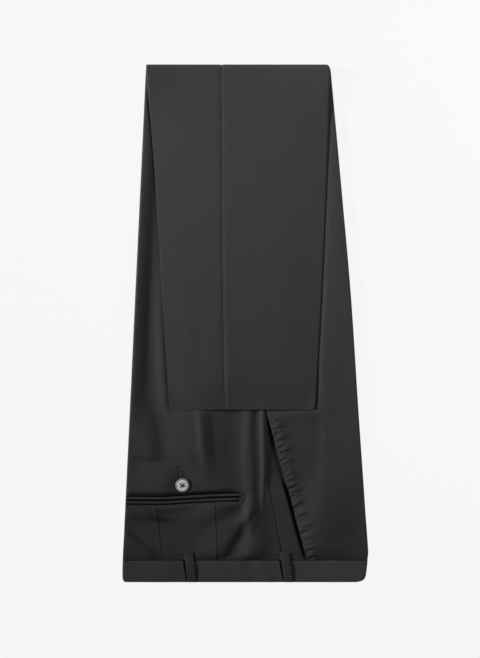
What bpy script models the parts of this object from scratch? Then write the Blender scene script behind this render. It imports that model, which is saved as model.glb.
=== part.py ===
"""Suit trousers, folded and lying flat.

The two legs are laid together with the outseams on top of each other, then both are folded over at
the knee, so that the hems come to rest on the seat. The whole stack is one strip of cloth layers that
runs from the waist along the table, round the knee fold and back over itself to the hems.

Units are metres. +X runs from the back crease to the front crease, +Y from the waist to the knee fold,
+Z is up and the table is at Z = 0. The origin is under the middle of the folded package.

Run with: blender --background --python part.py
"""

import math
from collections import namedtuple

import bmesh
import bpy

# ---- Driving dimensions ----------------------------------------------------------------------------

FOLDED_LENGTH = 0.632  # waist edge to knee fold
WAISTBAND_HEIGHT = 0.0268
LEG_LENGTH_FOLDED_OVER = 0.4214  # knee fold to hem
CLOTH = 0.0010  # thickness of a cloth wall
BAND = 0.0015  # thickness of the waistband, which is cloth on both sides of a canvas
SEAM_GAP = 0.0003  # between two pieces that are sewn or rest together
HIP_STACK = 0.0080  # height of both legs together at the hip
KNEE_STACK = 0.0070
HEM_STACK = 0.0056
BACK_TUCK = 0.040  # how far the cloth comes back inside the leg behind the back crease
FRONT_TUCK = 0.045  # the same behind the front crease
BUTTON_DIAMETER = 0.017
LOOP_WIDTH = 0.011

# ---- Places worked out from them -------------------------------------------------------------------

WAIST_EDGE_Y = -FOLDED_LENGTH / 2
FOLD_TIP_Y = FOLDED_LENGTH / 2
WAIST_SEAM_Y = WAIST_EDGE_Y + WAISTBAND_HEIGHT
HEM_Y = FOLD_TIP_Y - LEG_LENGTH_FOLDED_OVER

REST_GAP = SEAM_GAP / 2  # half of the gap between the folded-over legs and the cloth under them
FOLD_GAP = 0.0008  # the same inside the knee fold, where the cloth makes a small loop
HEM_GAP = 0.0007  # the same at the hems, which ride on the folds of the seat
FOLD_GAP_REACH = 0.050
HEM_GAP_REACH = 0.070
FOLD_CENTRE_Y = FOLD_TIP_Y - KNEE_STACK - FOLD_GAP

LOOP_LIFT = CLOTH + 2 * SEAM_GAP  # the belt loops underneath hold the waist up by this much
LOOP_REACH = 0.0095  # how far a belt loop reaches past the waist seam onto the leg
LIFT_RAMP = 0.024
FOLD_CORNER_PULL = 0.003  # the knee fold is this much narrower at its tip, on the front side

Outline = namedtuple("Outline", "y back seam front")
UNDER_RUN = (  # the legs from the waist seam to the knee fold
    Outline(WAIST_SEAM_Y, -0.1498, 0.0472, 0.1493),
    Outline(-0.2784, -0.1493, 0.0436, 0.1501),
    Outline(-0.2320, -0.1471, 0.0346, 0.1469),
    Outline(-0.1979, -0.1455, 0.0273, 0.1446),
    Outline(HEM_Y, -0.1411, 0.0256, 0.1382),
    Outline(0.0339, -0.1346, 0.0074, 0.1291),
    Outline(0.1559, -0.1288, -0.0086, 0.1184),
    Outline(FOLD_TIP_Y, -0.1213, -0.0295, 0.1038),
)
OVER_RUN = (  # the legs from the knee fold to the hems
    Outline(HEM_Y, -0.0926, -0.0252, 0.0850),
    Outline(-0.0303, -0.0974, -0.0265, 0.0893),
    Outline(0.0473, -0.1020, -0.0278, 0.0933),
    Outline(0.1742, -0.1099, -0.0288, 0.0988),
    Outline(FOLD_TIP_Y, -0.1213, -0.0295, 0.1030),
)
BAND_OUTLINE = (  # the waistband, from its rounded top corners to the waist seam
    Outline(WAIST_EDGE_Y, -0.1472, 0.0, 0.1365),
    Outline(-0.3145, -0.1490, 0.0, 0.1424),
    Outline(-0.3115, -0.1499, 0.0, 0.1459),
    Outline(-0.3060, -0.1502, 0.0, 0.1476),
    Outline(WAIST_SEAM_Y, -0.1498, 0.0, 0.1494),
)

# The slanted side pocket: its mouth runs from the waist seam down to the outseam.
POCKET_TOP_X = 0.0752
POCKET_FOOT_Y = -0.1088
FACING_UNDER_BACK = 0.004  # how far the facing reaches under the back panel
FACING_UNDER_FRONT = 0.015
FACING_ABOVE_FOOT = 0.010  # and past the mouth's foot
MOUTH_GAPE = 0.0016  # how far the mouth stands open
MOUTH_ROLL = 0.016  # width of the strip along the mouth that lifts with it

# The welted back pocket.
WELT_WIDTH = 0.0042
WELT_MOUTH = 0.0011  # slit between the two welts
WELT_BACK_Y = -0.2163  # the slit where it meets the back crease
WELT_SIDE_X = -0.0066
WELT_SIDE_Y = -0.2130  # the slit at the end towards the outseam
WELT_ZONE = (-0.2262, -0.2040)  # the strip across the leg that the welts keep flat
BUTTON_X, BUTTON_Y = -0.0766, -0.1976
BUTTON_HEIGHT = 0.0030

Fold = namedtuple("Fold", "name x1 y1 x2 y2 half_width height")
FOLDS = (  # the largest soft folds of the upper leg, as ridges from one point to another
    Fold("fullness of the seat", -0.0625, -0.085, -0.0600, -0.172, 0.0220, 0.0040),
    Fold("in front of the seat", 0.0030, -0.070, 0.0040, -0.212, 0.0065, 0.0012),
    Fold("along the outseam", 0.0210, -0.070, 0.0215, -0.238, 0.0050, 0.0018),
    Fold("above the back pocket", -0.1400, -0.1965, -0.0200, -0.1955, 0.0085, 0.0022),
    Fold("at the pocket's end", -0.0225, -0.216, -0.0390, -0.242, 0.0090, 0.0026),
    Fold("down to the waist", -0.0010, -0.238, -0.0370, -0.289, 0.0105, 0.0030),
    Fold("beside it", 0.0095, -0.252, 0.0065, -0.287, 0.0075, 0.0018),
    Fold("rib at the back", -0.1440, -0.231, -0.1040, -0.249, 0.0085, 0.0022),
    Fold("rib at the waist", -0.1440, -0.258, -0.1080, -0.288, 0.0085, 0.0024),
    Fold("loft of the front", 0.1080, -0.210, 0.1080, -0.272, 0.0240, 0.0040),
    Fold("beside the legs at the back", -0.1050, 0.020, -0.0990, -0.105, 0.0065, 0.0014),
    Fold("beside the legs at the front", 0.1060, 0.150, 0.0930, -0.100, 0.0150, 0.0012),
)
SEAT_PUFF = 0.0006  # general loft of the seat between the back crease and the outseam
SEAT_PUFF_REACH = 0.025

Loop = namedtuple("Loop", "name x_foot x_top")
BELT_LOOPS = (
    Loop("back", -0.0694, -0.0648),
    Loop("side", 0.0478, 0.0533),
)
LOOP_BOW = 0.0006

WAIST_RECESS = 0.004  # how far the hidden layers stay inside the waist edge
HEM_RECESS = 0.001  # and inside the hems
HEM_SLOT = 0.024  # depth of the parting between the two legs at the hems

ARC_STEPS = 6
FOLD_STEPS = 8

# ---- Small helpers ---------------------------------------------------------------------------------


def smoothstep(t):
    t = min(max(t, 0.0), 1.0)
    return t * t * (3 - 2 * t)


def mix(a, b, t):
    return a + (b - a) * t


def spread(start, end, count, easing=1.0):
    """count values from start to end; an easing over 1 packs them towards the end."""
    return [mix(start, end, 1 - (1 - i / (count - 1)) ** easing) for i in range(count)]


def outline_at(rows, y):
    """The outline at y, on a smooth cubic through the rows."""
    y = min(max(y, rows[0].y), rows[-1].y)
    k = next(i for i in range(len(rows) - 1) if y <= rows[i + 1].y)
    low, high = rows[k], rows[k + 1]
    before, after = rows[max(k - 1, 0)], rows[min(k + 2, len(rows) - 1)]
    span = high.y - low.y
    t = (y - low.y) / span

    def column(a, b, c, d):
        slope_low = (c - a) / (high.y - before.y) * span
        slope_high = (d - b) / (after.y - low.y) * span
        cubic = 2 * t**3 - 3 * t**2
        return (
            b * (1 + cubic)
            + c * -cubic
            + slope_low * (t**3 - 2 * t**2 + t)
            + slope_high * (t**3 - t**2)
        )

    columns = zip(before[1:], low[1:], high[1:], after[1:])
    return Outline(y, *(column(*values) for values in columns))


# ---- The strip of cloth: stations along it, and places across it ----------------------------------

# A station is one cross-section. (y, z) is where the cloth folded onto itself would meet, (dy, dz) points
# from there out through the layers, and stack is the height of both legs together.
Station = namedtuple("Station", "run y z dy dz gap stack back seam front")


def waist_lift(y):
    start = WAIST_SEAM_Y + LOOP_REACH + LIFT_RAMP
    return LOOP_LIFT * smoothstep((start - y) / LIFT_RAMP)


def stack_height(run, y):
    along = smoothstep((y - HEM_Y) / (FOLD_TIP_Y - HEM_Y))
    return mix(HIP_STACK if run == "under" else HEM_STACK, KNEE_STACK, along)


def rest_gap(y):
    near_fold = smoothstep((y - FOLD_CENTRE_Y + FOLD_GAP_REACH) / FOLD_GAP_REACH)
    near_hem = smoothstep((HEM_Y + HEM_GAP_REACH - y) / HEM_GAP_REACH)
    return REST_GAP + (FOLD_GAP - REST_GAP) * near_fold + (HEM_GAP - REST_GAP) * near_hem


def meeting_height(y):
    return stack_height("under", y) + rest_gap(y) + waist_lift(y)


def under_station(y, rows=UNDER_RUN):
    line = outline_at(rows, y)
    return Station(
        "under", y, meeting_height(y), 0.0, -1.0, rest_gap(y), stack_height("under", y), *line[1:]
    )


def over_station(y):
    line = outline_at(OVER_RUN, y)
    return Station(
        "over", y, meeting_height(y), 0.0, 1.0, rest_gap(y), stack_height("over", y), *line[1:]
    )


def fold_station(turn):
    """A section part of the way round the knee fold; turn runs from 0 to 1."""
    angle = math.pi * turn
    start, end = outline_at(UNDER_RUN, FOLD_CENTRE_Y), outline_at(OVER_RUN, FOLD_CENTRE_Y)
    front = mix(start.front, end.front, turn) - FOLD_CORNER_PULL * math.sin(angle) ** 4
    return Station(
        "fold",
        FOLD_CENTRE_Y,
        meeting_height(FOLD_CENTRE_Y),
        math.sin(angle),
        -math.cos(angle),
        FOLD_GAP,
        KNEE_STACK,
        mix(start.back, end.back, turn),
        mix(start.seam, end.seam, turn),
        front,
    )


def leg_stations(under_ys, over_ys):
    """Stations for a piece that runs from the waist seam round the knee fold to the hem."""
    turns = [i / FOLD_STEPS for i in range(1, FOLD_STEPS)]
    return (
        [under_station(y) for y in under_ys]
        + [fold_station(turn) for turn in turns]
        + [over_station(y) for y in over_ys]
    )


def place(station, x, depth):
    """The point at x, depth metres out through the layers from where the cloth meets itself."""
    return (x, station.y + station.dy * depth, station.z + station.dz * depth)


def depth_in_leg(station, leg, inward):
    """Depth of a point that lies inward of the leg's outer face. The left leg's face shows on top."""
    if leg == "left":
        return station.gap + inward
    return station.gap + station.stack - inward


# ---- Soft relief of the cloth that shows ----------------------------------------------------------


def mouth_x(y):
    """The slanted edge of the front panel along the side pocket, or the outseam beyond its foot."""
    foot = outline_at(UNDER_RUN, POCKET_FOOT_Y).seam
    if y >= POCKET_FOOT_Y:
        return outline_at(UNDER_RUN, y).seam
    return mix(POCKET_TOP_X, foot, (y - WAIST_SEAM_Y) / (POCKET_FOOT_Y - WAIST_SEAM_Y))


def fold_height(fold, x, y):
    run_x, run_y = fold.x2 - fold.x1, fold.y2 - fold.y1
    length = math.hypot(run_x, run_y)
    along = ((x - fold.x1) * run_x + (y - fold.y1) * run_y) / length**2
    aside = ((x - fold.x1) * run_y - (y - fold.y1) * run_x) / length
    ends = smoothstep(along / 0.3 + 0.5) * smoothstep((1 - along) / 0.3 + 0.5)
    return fold.height * ends * math.exp(-((aside / fold.half_width) ** 2))


def covered(x, y):
    """1 where the folded-over legs press the cloth flat, 0 where it is free."""
    over = outline_at(OVER_RUN, y)
    inside = smoothstep((x - over.back) / 0.004 + 1) * smoothstep((over.front - x) / 0.004 + 1)
    return inside * smoothstep((y - HEM_Y + 0.014) / 0.016)


def relief(x, y):
    """How far the cloth of the upper leg stands above its resting level."""
    line = outline_at(UNDER_RUN, y)
    edges = smoothstep((x - line.back - 0.003) / 0.010) * smoothstep((line.front - 0.003 - x) / 0.010)
    free = (1 - covered(x, y)) * smoothstep((y - WAIST_SEAM_Y) / 0.010)
    low, high = WELT_ZONE
    beside_welts = smoothstep((x - WELT_SIDE_X) / 0.012)
    out_of_zone = max(smoothstep((low - y) / 0.006), smoothstep((y - high) / 0.006))
    folds = sum(fold_height(fold, x, y) for fold in FOLDS) * max(beside_welts, out_of_zone)
    to_back = smoothstep((x - line.back) / SEAT_PUFF_REACH)
    to_seam = smoothstep((line.seam - x) / SEAT_PUFF_REACH)
    seat = SEAT_PUFF * to_back * to_seam * smoothstep((HEM_Y + 0.010 - y) / 0.020)
    return (folds + seat) * edges * free


def mouth_lift(x, y):
    """How far the front panel stands up along the open mouth of the side pocket."""
    if y >= POCKET_FOOT_Y:
        return 0.0
    along = (y - WAIST_SEAM_Y) / (POCKET_FOOT_Y - WAIST_SEAM_Y)
    across = max(x - mouth_x(y), 0.0) / MOUTH_ROLL
    return MOUTH_GAPE * math.sin(math.pi * min(max(along, 0.0), 1.0)) ** 0.7 * (1 - smoothstep(across))


# ---- Meshes ---------------------------------------------------------------------------------------


def material(name, colour, roughness):
    made = bpy.data.materials.get(name) or bpy.data.materials.new(name)
    made.use_nodes = True
    shader = made.node_tree.nodes["Principled BSDF"]
    shader.inputs["Base Color"].default_value = (*colour, 1.0)
    shader.inputs["Roughness"].default_value = roughness
    shader.inputs["Metallic"].default_value = 0.0
    return made


def suiting():
    return material("suiting", (0.036, 0.036, 0.037), 0.75)


def suiting_inside():
    return material("suiting_inside", (0.028, 0.028, 0.029), 0.85)


def button_pearl():
    return material("button_pearl", (0.82, 0.82, 0.80), 0.25)


def add_object(name, mesh, finish):
    made = bpy.data.objects.new(name, mesh)
    bpy.context.scene.collection.objects.link(made)
    mesh.materials.append(finish)
    return made


def loft(name, rings, finish):
    """A closed solid through rings of points, with a flat cap on the first and the last."""
    shape = bmesh.new()
    verts = [[shape.verts.new(point) for point in ring] for ring in rings]
    for ring, after in zip(verts, verts[1:]):
        for i in range(len(ring)):
            j = (i + 1) % len(ring)
            shape.faces.new((ring[i], ring[j], after[j], after[i]))
    shape.faces.new(reversed(verts[0]))
    shape.faces.new(verts[-1])
    bmesh.ops.recalc_face_normals(shape, faces=shape.faces)
    mesh = bpy.data.meshes.new(name)
    shape.to_mesh(mesh)
    shape.free()
    mesh.shade_smooth()
    mesh.set_sharp_from_angle(angle=math.radians(40))
    return add_object(name, mesh, finish)


def crease_arc(station, leg, edge_x, side, wall, outer):
    """Points round a pressed crease, from the leg's outer face to its tucked-in layer."""
    radius = (station.stack - SEAM_GAP) / 4
    reach = radius if outer else radius - wall
    centre = edge_x - side * radius
    points = []
    for i in range(ARC_STEPS + 1):
        angle = math.pi * i / ARC_STEPS
        inward = radius - reach * math.cos(angle)
        points.append((centre + side * reach * math.sin(angle), inward))
    return [place(station, x, depth_in_leg(station, leg, inward)) for x, inward in points]


def tuck_ends(station):
    """Where the cloth that comes back inside behind the two creases ends."""
    radius = (station.stack - SEAM_GAP) / 4
    return station.back + radius + BACK_TUCK, station.front - radius - FRONT_TUCK


def wall_ring(station, leg, xs, wall, back_end=None, front_end=None, lift=None):
    """One section through a cloth wall: its flat part at xs, and its creases with the cloth that comes
    back inside behind them, as far as back_end and front_end."""
    radius = (station.stack - SEAM_GAP) / 4

    def flat(inward, order):
        raised = [lift(x, station.y) if lift else 0.0 for x in order]
        return [place(station, x, depth_in_leg(station, leg, inward - up)) for x, up in zip(order, raised)]

    def crease_and_tuck(side, end, outer):
        edge = station.front if side > 0 else station.back
        layer = 2 * radius - (0 if outer else wall)
        arc = crease_arc(station, leg, edge, side, wall, outer)
        return arc + [place(station, end, depth_in_leg(station, leg, layer))]

    outer = flat(0.0, xs)
    inner = flat(wall, xs[::-1])
    if front_end is not None:
        outer += crease_and_tuck(1, front_end, True) + crease_and_tuck(1, front_end, False)[::-1]
    if back_end is not None:
        inner += crease_and_tuck(-1, back_end, False) + crease_and_tuck(-1, back_end, True)[::-1]
    return outer + inner


def flat_limits(station):
    """Where the flat part of a leg ends and its creases begin."""
    radius = (station.stack - SEAM_GAP) / 4
    clear = radius + 0.0005
    return station.back + clear, station.front - clear


# ---- The cloth pieces -----------------------------------------------------------------------------

PANEL_START_Y = WAIST_SEAM_Y + SEAM_GAP / 2
BACK_COLUMNS, BACK_EASING = 19, 1.25  # points across the back panel, closer together near the outseam
FRONT_COLUMNS = 9
PLAIN_COLUMNS = 3

# Rows of points along the legs: fine where the folds show, and plain under the other cloth.
FINE_UNDER = spread(PANEL_START_Y, HEM_Y - 0.002, 18) + [-0.090, -0.078, -0.050]
COARSE_UNDER = [0.000, 0.060, 0.120, 0.180, 0.230, 0.270, 0.292, FOLD_CENTRE_Y]
PLAIN_UNDER = [-0.2755, -0.2645, -0.254, -0.232, -0.198, POCKET_FOOT_Y, -0.090, -0.050]
OVER_YS = [FOLD_CENTRE_Y, 0.292, 0.270, 0.220, 0.140, 0.060, -0.010, -0.050, -0.080, HEM_Y]


def front_lift(x, y):
    return max(relief(x, y), mouth_lift(x, y))


def back_xs(station, count, easing):
    start = flat_limits(station)[0]
    return spread(start, station.seam - SEAM_GAP / 2, count, easing)


def front_xs(station, count):
    end = flat_limits(station)[1]
    start = mouth_x(station.y) if station.run == "under" else station.seam
    return spread(start + SEAM_GAP / 2, end, count)


def left_back_panel():
    rings = []
    for station in leg_stations(FINE_UNDER + COARSE_UNDER, OVER_YS):
        lift = relief if station.run == "under" else None
        xs = back_xs(station, BACK_COLUMNS, BACK_EASING)
        end = tuck_ends(station)[0]
        rings.append(wall_ring(station, "left", xs, CLOTH, back_end=end, lift=lift))
    return loft("left_back_panel", rings, suiting())


def left_front_panel():
    rings = []
    for station in leg_stations(FINE_UNDER + COARSE_UNDER, OVER_YS):
        lift = front_lift if station.run == "under" else None
        xs = front_xs(station, FRONT_COLUMNS)
        end = tuck_ends(station)[1]
        rings.append(wall_ring(station, "left", xs, CLOTH, front_end=end, lift=lift))
    return loft("left_front_panel", rings, suiting())


def right_panels():
    under = [PANEL_START_Y] + PLAIN_UNDER + COARSE_UNDER
    back, front = [], []
    for station in leg_stations(under, OVER_YS):
        back_end, front_end = tuck_ends(station)
        xs = back_xs(station, PLAIN_COLUMNS, 1.0)
        back.append(wall_ring(station, "right", xs, CLOTH, back_end=back_end))
        xs = front_xs(station, PLAIN_COLUMNS)
        front.append(wall_ring(station, "right", xs, CLOTH, front_end=front_end))
    loft("right_back_panel", back, suiting())
    loft("right_front_panel", front, suiting())


def waistband(leg):
    rings = []
    ends = tuck_ends(under_station(WAIST_SEAM_Y))
    for row in BAND_OUTLINE:
        station = under_station(min(row.y, WAIST_SEAM_Y - SEAM_GAP / 2), BAND_OUTLINE)
        xs = spread(*flat_limits(station), 6)
        rings.append(wall_ring(station, leg, xs, BAND, *ends))
    return loft(f"{leg}_waistband", rings, suiting())


def pocket_facing(leg):
    """The cloth behind the side pocket's mouth, lying under the front panel and the back panel's edge."""
    rings = []
    top = CLOTH + SEAM_GAP
    beside_mouth = [y for y in PLAIN_UNDER if y <= POCKET_FOOT_Y]
    for y in [PANEL_START_Y, *beside_mouth, POCKET_FOOT_Y + FACING_ABOVE_FOOT]:
        station = under_station(y)
        xs = spread(station.seam - FACING_UNDER_BACK, mouth_x(y) + FACING_UNDER_FRONT, 4)
        outer = [place(station, x, depth_in_leg(station, leg, top)) for x in xs]
        inner = [place(station, x, depth_in_leg(station, leg, top + CLOTH)) for x in xs[::-1]]
        rings.append(outer + inner)
    return loft(f"{leg}_pocket_facing", rings, suiting())


def inner_layers():
    """The layers that nothing shows, as one solid with rounded sides: the inner halves of both legs,
    the fly and the seat seam turned in between them, and the pocket bags."""
    under = [WAIST_EDGE_Y + WAIST_RECESS, WAIST_SEAM_Y] + PLAIN_UNDER + COARSE_UNDER
    rings = []
    for station in leg_stations(under, OVER_YS[:-1] + [HEM_Y + HEM_RECESS]):
        low, high = inner_depths(station)
        radius = (high - low) / 2
        middle = (low + high) / 2
        back_end, front_end = tuck_ends(station)
        back = back_end + SEAM_GAP + radius
        front = front_end - SEAM_GAP - radius
        ring = []
        for centre, start in ((front, 0.5), (back, -0.5)):
            for i in range(ARC_STEPS + 1):
                angle = math.pi * (start - i / ARC_STEPS)
                ring.append(
                    place(station, centre + radius * math.cos(angle), middle + radius * math.sin(angle))
                )
        rings.append(ring)
    solid = loft("inner_layers", rings, suiting_inside())
    cut_hem_slot(solid)
    return solid


def inner_depths(station):
    """Depths between which the hidden layers lie. They thin out to two walls of cloth at the hems."""
    if station.run == "under":
        beside_pockets = smoothstep((-0.050 - station.y) / 0.040)
        margin = mix(CLOTH + SEAM_GAP, 2 * (CLOTH + SEAM_GAP), beside_pockets)
    elif station.run == "over":
        to_hem = smoothstep((HEM_Y + 0.100 - station.y) / 0.090)
        margin = mix(CLOTH + SEAM_GAP, station.stack / 2 - CLOTH - REST_GAP, to_hem)
    else:
        margin = CLOTH + SEAM_GAP
    return station.gap + margin, station.gap + station.stack - margin


def cut_hem_slot(solid):
    """Parts the hidden layers at the hems into the inner wall of each leg."""
    rings = []
    reach = FOLDED_LENGTH / 2  # well past both creases
    for y in (HEM_Y - HEM_SLOT / 10, HEM_Y + HEM_SLOT / 2, HEM_Y + HEM_SLOT):
        station = over_station(max(y, HEM_Y))._replace(y=y)
        middle = station.gap + station.stack / 2
        low, high = middle - REST_GAP, middle + REST_GAP
        corners = ((-reach, low), (reach, low), (reach, high), (-reach, high))
        rings.append([place(station, x, depth) for x, depth in corners])
    cutter = loft("hem_slot_cutter", rings, suiting_inside())
    cutter.hide_render = True
    cutter.display_type = "WIRE"
    slot = solid.modifiers.new("hem_slot", "BOOLEAN")
    slot.operation = "DIFFERENCE"
    slot.solver = "EXACT"
    slot.object = cutter


# ---- What lies on the cloth -----------------------------------------------------------------------


def welt(name, near, far):
    """A welt of the back pocket, lying on the panel between two lines beside the pocket's slit. It starts
    just round the back crease and ends towards the outseam."""
    station = under_station(sum(WELT_ZONE) / 2)
    crease = crease_arc(station, "left", station.back, -1, CLOTH, True)
    bed = []  # the points that it lies on, each with the direction out of the cloth
    for step in (1, 0):
        angle = math.pi * step / ARC_STEPS
        bed.append((crease[step][0], crease[step][2], -math.sin(angle), math.cos(angle)))
    for x in back_xs(station, BACK_COLUMNS, BACK_EASING) + [WELT_SIDE_X]:
        if x <= WELT_SIDE_X:
            bed.append((x, station.stack + relief(x, station.y), 0.0, 1.0))
    rings = []
    for x, z, out_x, out_z in bed:
        slit_y = mix(WELT_BACK_Y, WELT_SIDE_Y, (x - station.back) / (WELT_SIDE_X - station.back))
        corners = ((near, SEAM_GAP), (far, SEAM_GAP), (far, SEAM_GAP + CLOTH), (near, SEAM_GAP + CLOTH))
        rings.append([(x + out_x * up, slit_y + aside, z + out_z * up) for aside, up in corners])
    return loft(name, rings, suiting())


def belt_loop(leg, loop):
    """A loop across the waistband, bowed a little off it, with its foot on the leg."""
    foot_y = WAIST_SEAM_Y + LOOP_REACH
    rings = []
    for i in range(9):
        t = i / 8
        y = mix(foot_y, WAIST_EDGE_Y, t)
        x = mix(loop.x_foot, loop.x_top, t)
        station = under_station(max(y, WAIST_EDGE_Y))
        bow = LOOP_BOW * math.sin(math.pi * min(max((t - 0.25) / 0.75, 0.0), 1.0)) if leg == "left" else 0.0
        lift = relief(x, y) if leg == "left" else 0.0
        under, over = -SEAM_GAP - bow - lift, -SEAM_GAP - bow - lift - CLOTH
        section = []
        for dx, inward in ((-1, under), (1, under), (1, over), (-1, over)):
            section.append(place(station, x + dx * LOOP_WIDTH / 2, depth_in_leg(station, leg, inward)))
        rings.append(section)
    return loft(f"{leg}_{loop.name}_belt_loop", rings, suiting())


def pocket_button():
    """A four-hole button with a raised rim round a shallow dish."""
    radius = BUTTON_DIAMETER / 2
    profile = (  # radius and height of the turned half-section, from the underside's middle to the top's
        (0.0, 0.0),
        (radius * 0.80, 0.0),
        (radius * 0.97, BUTTON_HEIGHT * 0.35),
        (radius, BUTTON_HEIGHT * 0.65),
        (radius * 0.94, BUTTON_HEIGHT * 0.95),
        (radius * 0.84, BUTTON_HEIGHT),
        (radius * 0.72, BUTTON_HEIGHT * 0.80),
        (radius * 0.30, BUTTON_HEIGHT * 0.72),
        (0.0, BUTTON_HEIGHT * 0.72),
    )
    shape = bmesh.new()
    verts = [shape.verts.new((r, 0.0, z)) for r, z in profile]
    edges = [shape.edges.new(pair) for pair in zip(verts, verts[1:])]
    bmesh.ops.spin(
        shape,
        geom=verts + edges,
        cent=(0, 0, 0),
        axis=(0, 0, 1),
        angle=2 * math.pi,
        steps=28,
        use_merge=True,
    )
    bmesh.ops.remove_doubles(shape, verts=shape.verts, dist=1e-6)
    bmesh.ops.recalc_face_normals(shape, faces=shape.faces)
    mesh = bpy.data.meshes.new("back_pocket_button")
    shape.to_mesh(mesh)
    shape.free()
    mesh.shade_smooth()
    mesh.set_sharp_from_angle(angle=math.radians(50))
    button = add_object("back_pocket_button", mesh, button_pearl())
    offsets = (-radius, 0, radius)
    highest = max(relief(BUTTON_X + dx, BUTTON_Y + dy) for dx in offsets for dy in offsets)
    button.location = (BUTTON_X, BUTTON_Y, HIP_STACK + highest + SEAM_GAP)
    button.rotation_euler.z = math.radians(8)
    for i in range(4):
        angle = math.radians(45 + 90 * i)
        cut_thread_hole(button, 0.0021 * math.cos(angle), 0.0021 * math.sin(angle), i)
    return button


def cut_thread_hole(button, x, y, number):
    bpy.ops.mesh.primitive_cylinder_add(vertices=10, radius=0.00085, depth=3 * BUTTON_HEIGHT)
    cutter = bpy.context.object
    cutter.name = f"thread_hole_cutter_{number}"
    cutter.parent = button
    cutter.location = (x, y, BUTTON_HEIGHT / 2)
    cutter.hide_render = True
    cutter.display_type = "WIRE"
    hole = button.modifiers.new(f"thread_hole_{number}", "BOOLEAN")
    hole.operation = "DIFFERENCE"
    hole.solver = "EXACT"
    hole.object = cutter


# ---- The trousers ---------------------------------------------------------------------------------


def clear_scene():
    for existing in list(bpy.data.objects):
        bpy.data.objects.remove(existing, do_unlink=True)


def main():
    clear_scene()
    left_back_panel()
    left_front_panel()
    right_panels()
    for leg in ("left", "right"):
        waistband(leg)
        pocket_facing(leg)
        for loop in BELT_LOOPS:
            belt_loop(leg, loop)
    inner_layers()
    welt("back_pocket_upper_welt", WELT_MOUTH / 2, WELT_MOUTH / 2 + WELT_WIDTH)
    welt("back_pocket_lower_welt", -WELT_MOUTH / 2 - WELT_WIDTH, -WELT_MOUTH / 2)
    pocket_button()


main()
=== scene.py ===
import math
from collections import namedtuple

import bmesh
import bpy
import numpy as np
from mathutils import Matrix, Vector


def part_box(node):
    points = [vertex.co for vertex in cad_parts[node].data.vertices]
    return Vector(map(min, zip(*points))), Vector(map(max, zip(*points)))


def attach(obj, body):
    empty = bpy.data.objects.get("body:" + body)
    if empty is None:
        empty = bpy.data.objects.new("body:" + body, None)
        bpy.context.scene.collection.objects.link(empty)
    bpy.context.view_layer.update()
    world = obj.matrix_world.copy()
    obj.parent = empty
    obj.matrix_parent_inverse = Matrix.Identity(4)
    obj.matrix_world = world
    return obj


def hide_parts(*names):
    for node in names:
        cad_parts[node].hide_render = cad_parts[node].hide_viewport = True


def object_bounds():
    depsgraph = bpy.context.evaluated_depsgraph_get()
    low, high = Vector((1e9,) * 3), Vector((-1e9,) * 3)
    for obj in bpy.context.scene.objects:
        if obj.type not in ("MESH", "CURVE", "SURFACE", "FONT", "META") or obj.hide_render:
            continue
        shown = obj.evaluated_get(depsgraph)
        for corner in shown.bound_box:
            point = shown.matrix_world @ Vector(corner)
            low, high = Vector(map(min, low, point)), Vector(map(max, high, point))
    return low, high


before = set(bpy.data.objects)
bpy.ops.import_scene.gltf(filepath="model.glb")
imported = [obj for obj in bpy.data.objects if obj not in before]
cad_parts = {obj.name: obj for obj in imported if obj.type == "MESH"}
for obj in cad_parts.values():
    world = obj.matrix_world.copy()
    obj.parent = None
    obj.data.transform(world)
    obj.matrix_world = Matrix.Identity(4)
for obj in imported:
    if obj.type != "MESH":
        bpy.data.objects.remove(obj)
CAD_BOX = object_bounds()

bl_info = {
    "name": "Folded suit trousers",
    "version": (1, 0, 0),
    "blender": (4, 5, 0),
    "location": "3D View > Sidebar > Trousers",
    "description": "Charcoal suit trousers, folded leg on leg and once across, lying flat",
    "category": "Add Mesh",
}

# ---- Sizes, in metres. +X is from the back crease to the front crease, +Y from waist to knee fold ----

WAIST_EDGE_Y, FOLD_TIP_Y = CAD_BOX[0].y, CAD_BOX[1].y
WAIST_SEAM_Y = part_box("left_waistband")[1].y
CLOTH = 0.0010
BAND, BAND_ROLL = 0.0015, 0.0011
SEAM_GAP = 0.0003
HIP_STACK, KNEE_STACK, HEM_STACK = 0.0080, 0.0070, 0.0056
REST_GAP, FOLD_GAP, HEM_GAP = SEAM_GAP / 2, 0.0008, 0.0007
FOLD_GAP_REACH, HEM_GAP_REACH = 0.050, 0.070
FOLD_CENTRE_Y = FOLD_TIP_Y - KNEE_STACK - FOLD_GAP
HEM_Y = FOLD_TIP_Y - 0.4214
LOOP_LIFT = CLOTH + 2 * SEAM_GAP
LOOP_REACH, LOOP_WIDTH, LOOP_THICKNESS = 0.0095, 0.011, 0.00118
LOOP_TOP_RADIUS = 0.0019  # of the loop's bend over the waistband's edge
HIDDEN_WALL = 0.0006
LIFT_RAMP = 0.024
WARP_REACH = 0.030
BACK_TUCK, FRONT_TUCK = 0.040, 0.045
CROTCH_Y = -0.056
FOLD_CORNER_PULL, HEM_PULL_BACK, HEM_PULL_FRONT = 0.003, 0.0018, 0.0010
EDGE_PRESS, HEM_PRESS, THINNEST = 0.78, 0.60, 0.80
MM = 0.001
DEEPEST = 0.0018  # no crease sinks further, so that it stays clear of the cloth inside the leg
CREASE_FADE = 9.0  # millimetres in which a crease runs out past its path's end
CREASES_LEFT = 0.5  # share of a crease's height that is left under the folded-over legs' hems
RIDE_SHARE = 0.8  # of what is left lifts the folded-over legs
WAIST_DIP = 0.0006  # of the leg into the waist seam

# How finely the sheets are divided: beside a seam, beside a dart and round a crease.
SEAM_STEPS = (0.0, 0.00012, 0.0003, 0.0006, 0.0010, 0.0017, 0.0028)
DART_STEPS = (0.0, 0.0004, 0.0009, 0.0016, 0.0026)
ARC_STEPS = 10

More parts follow.
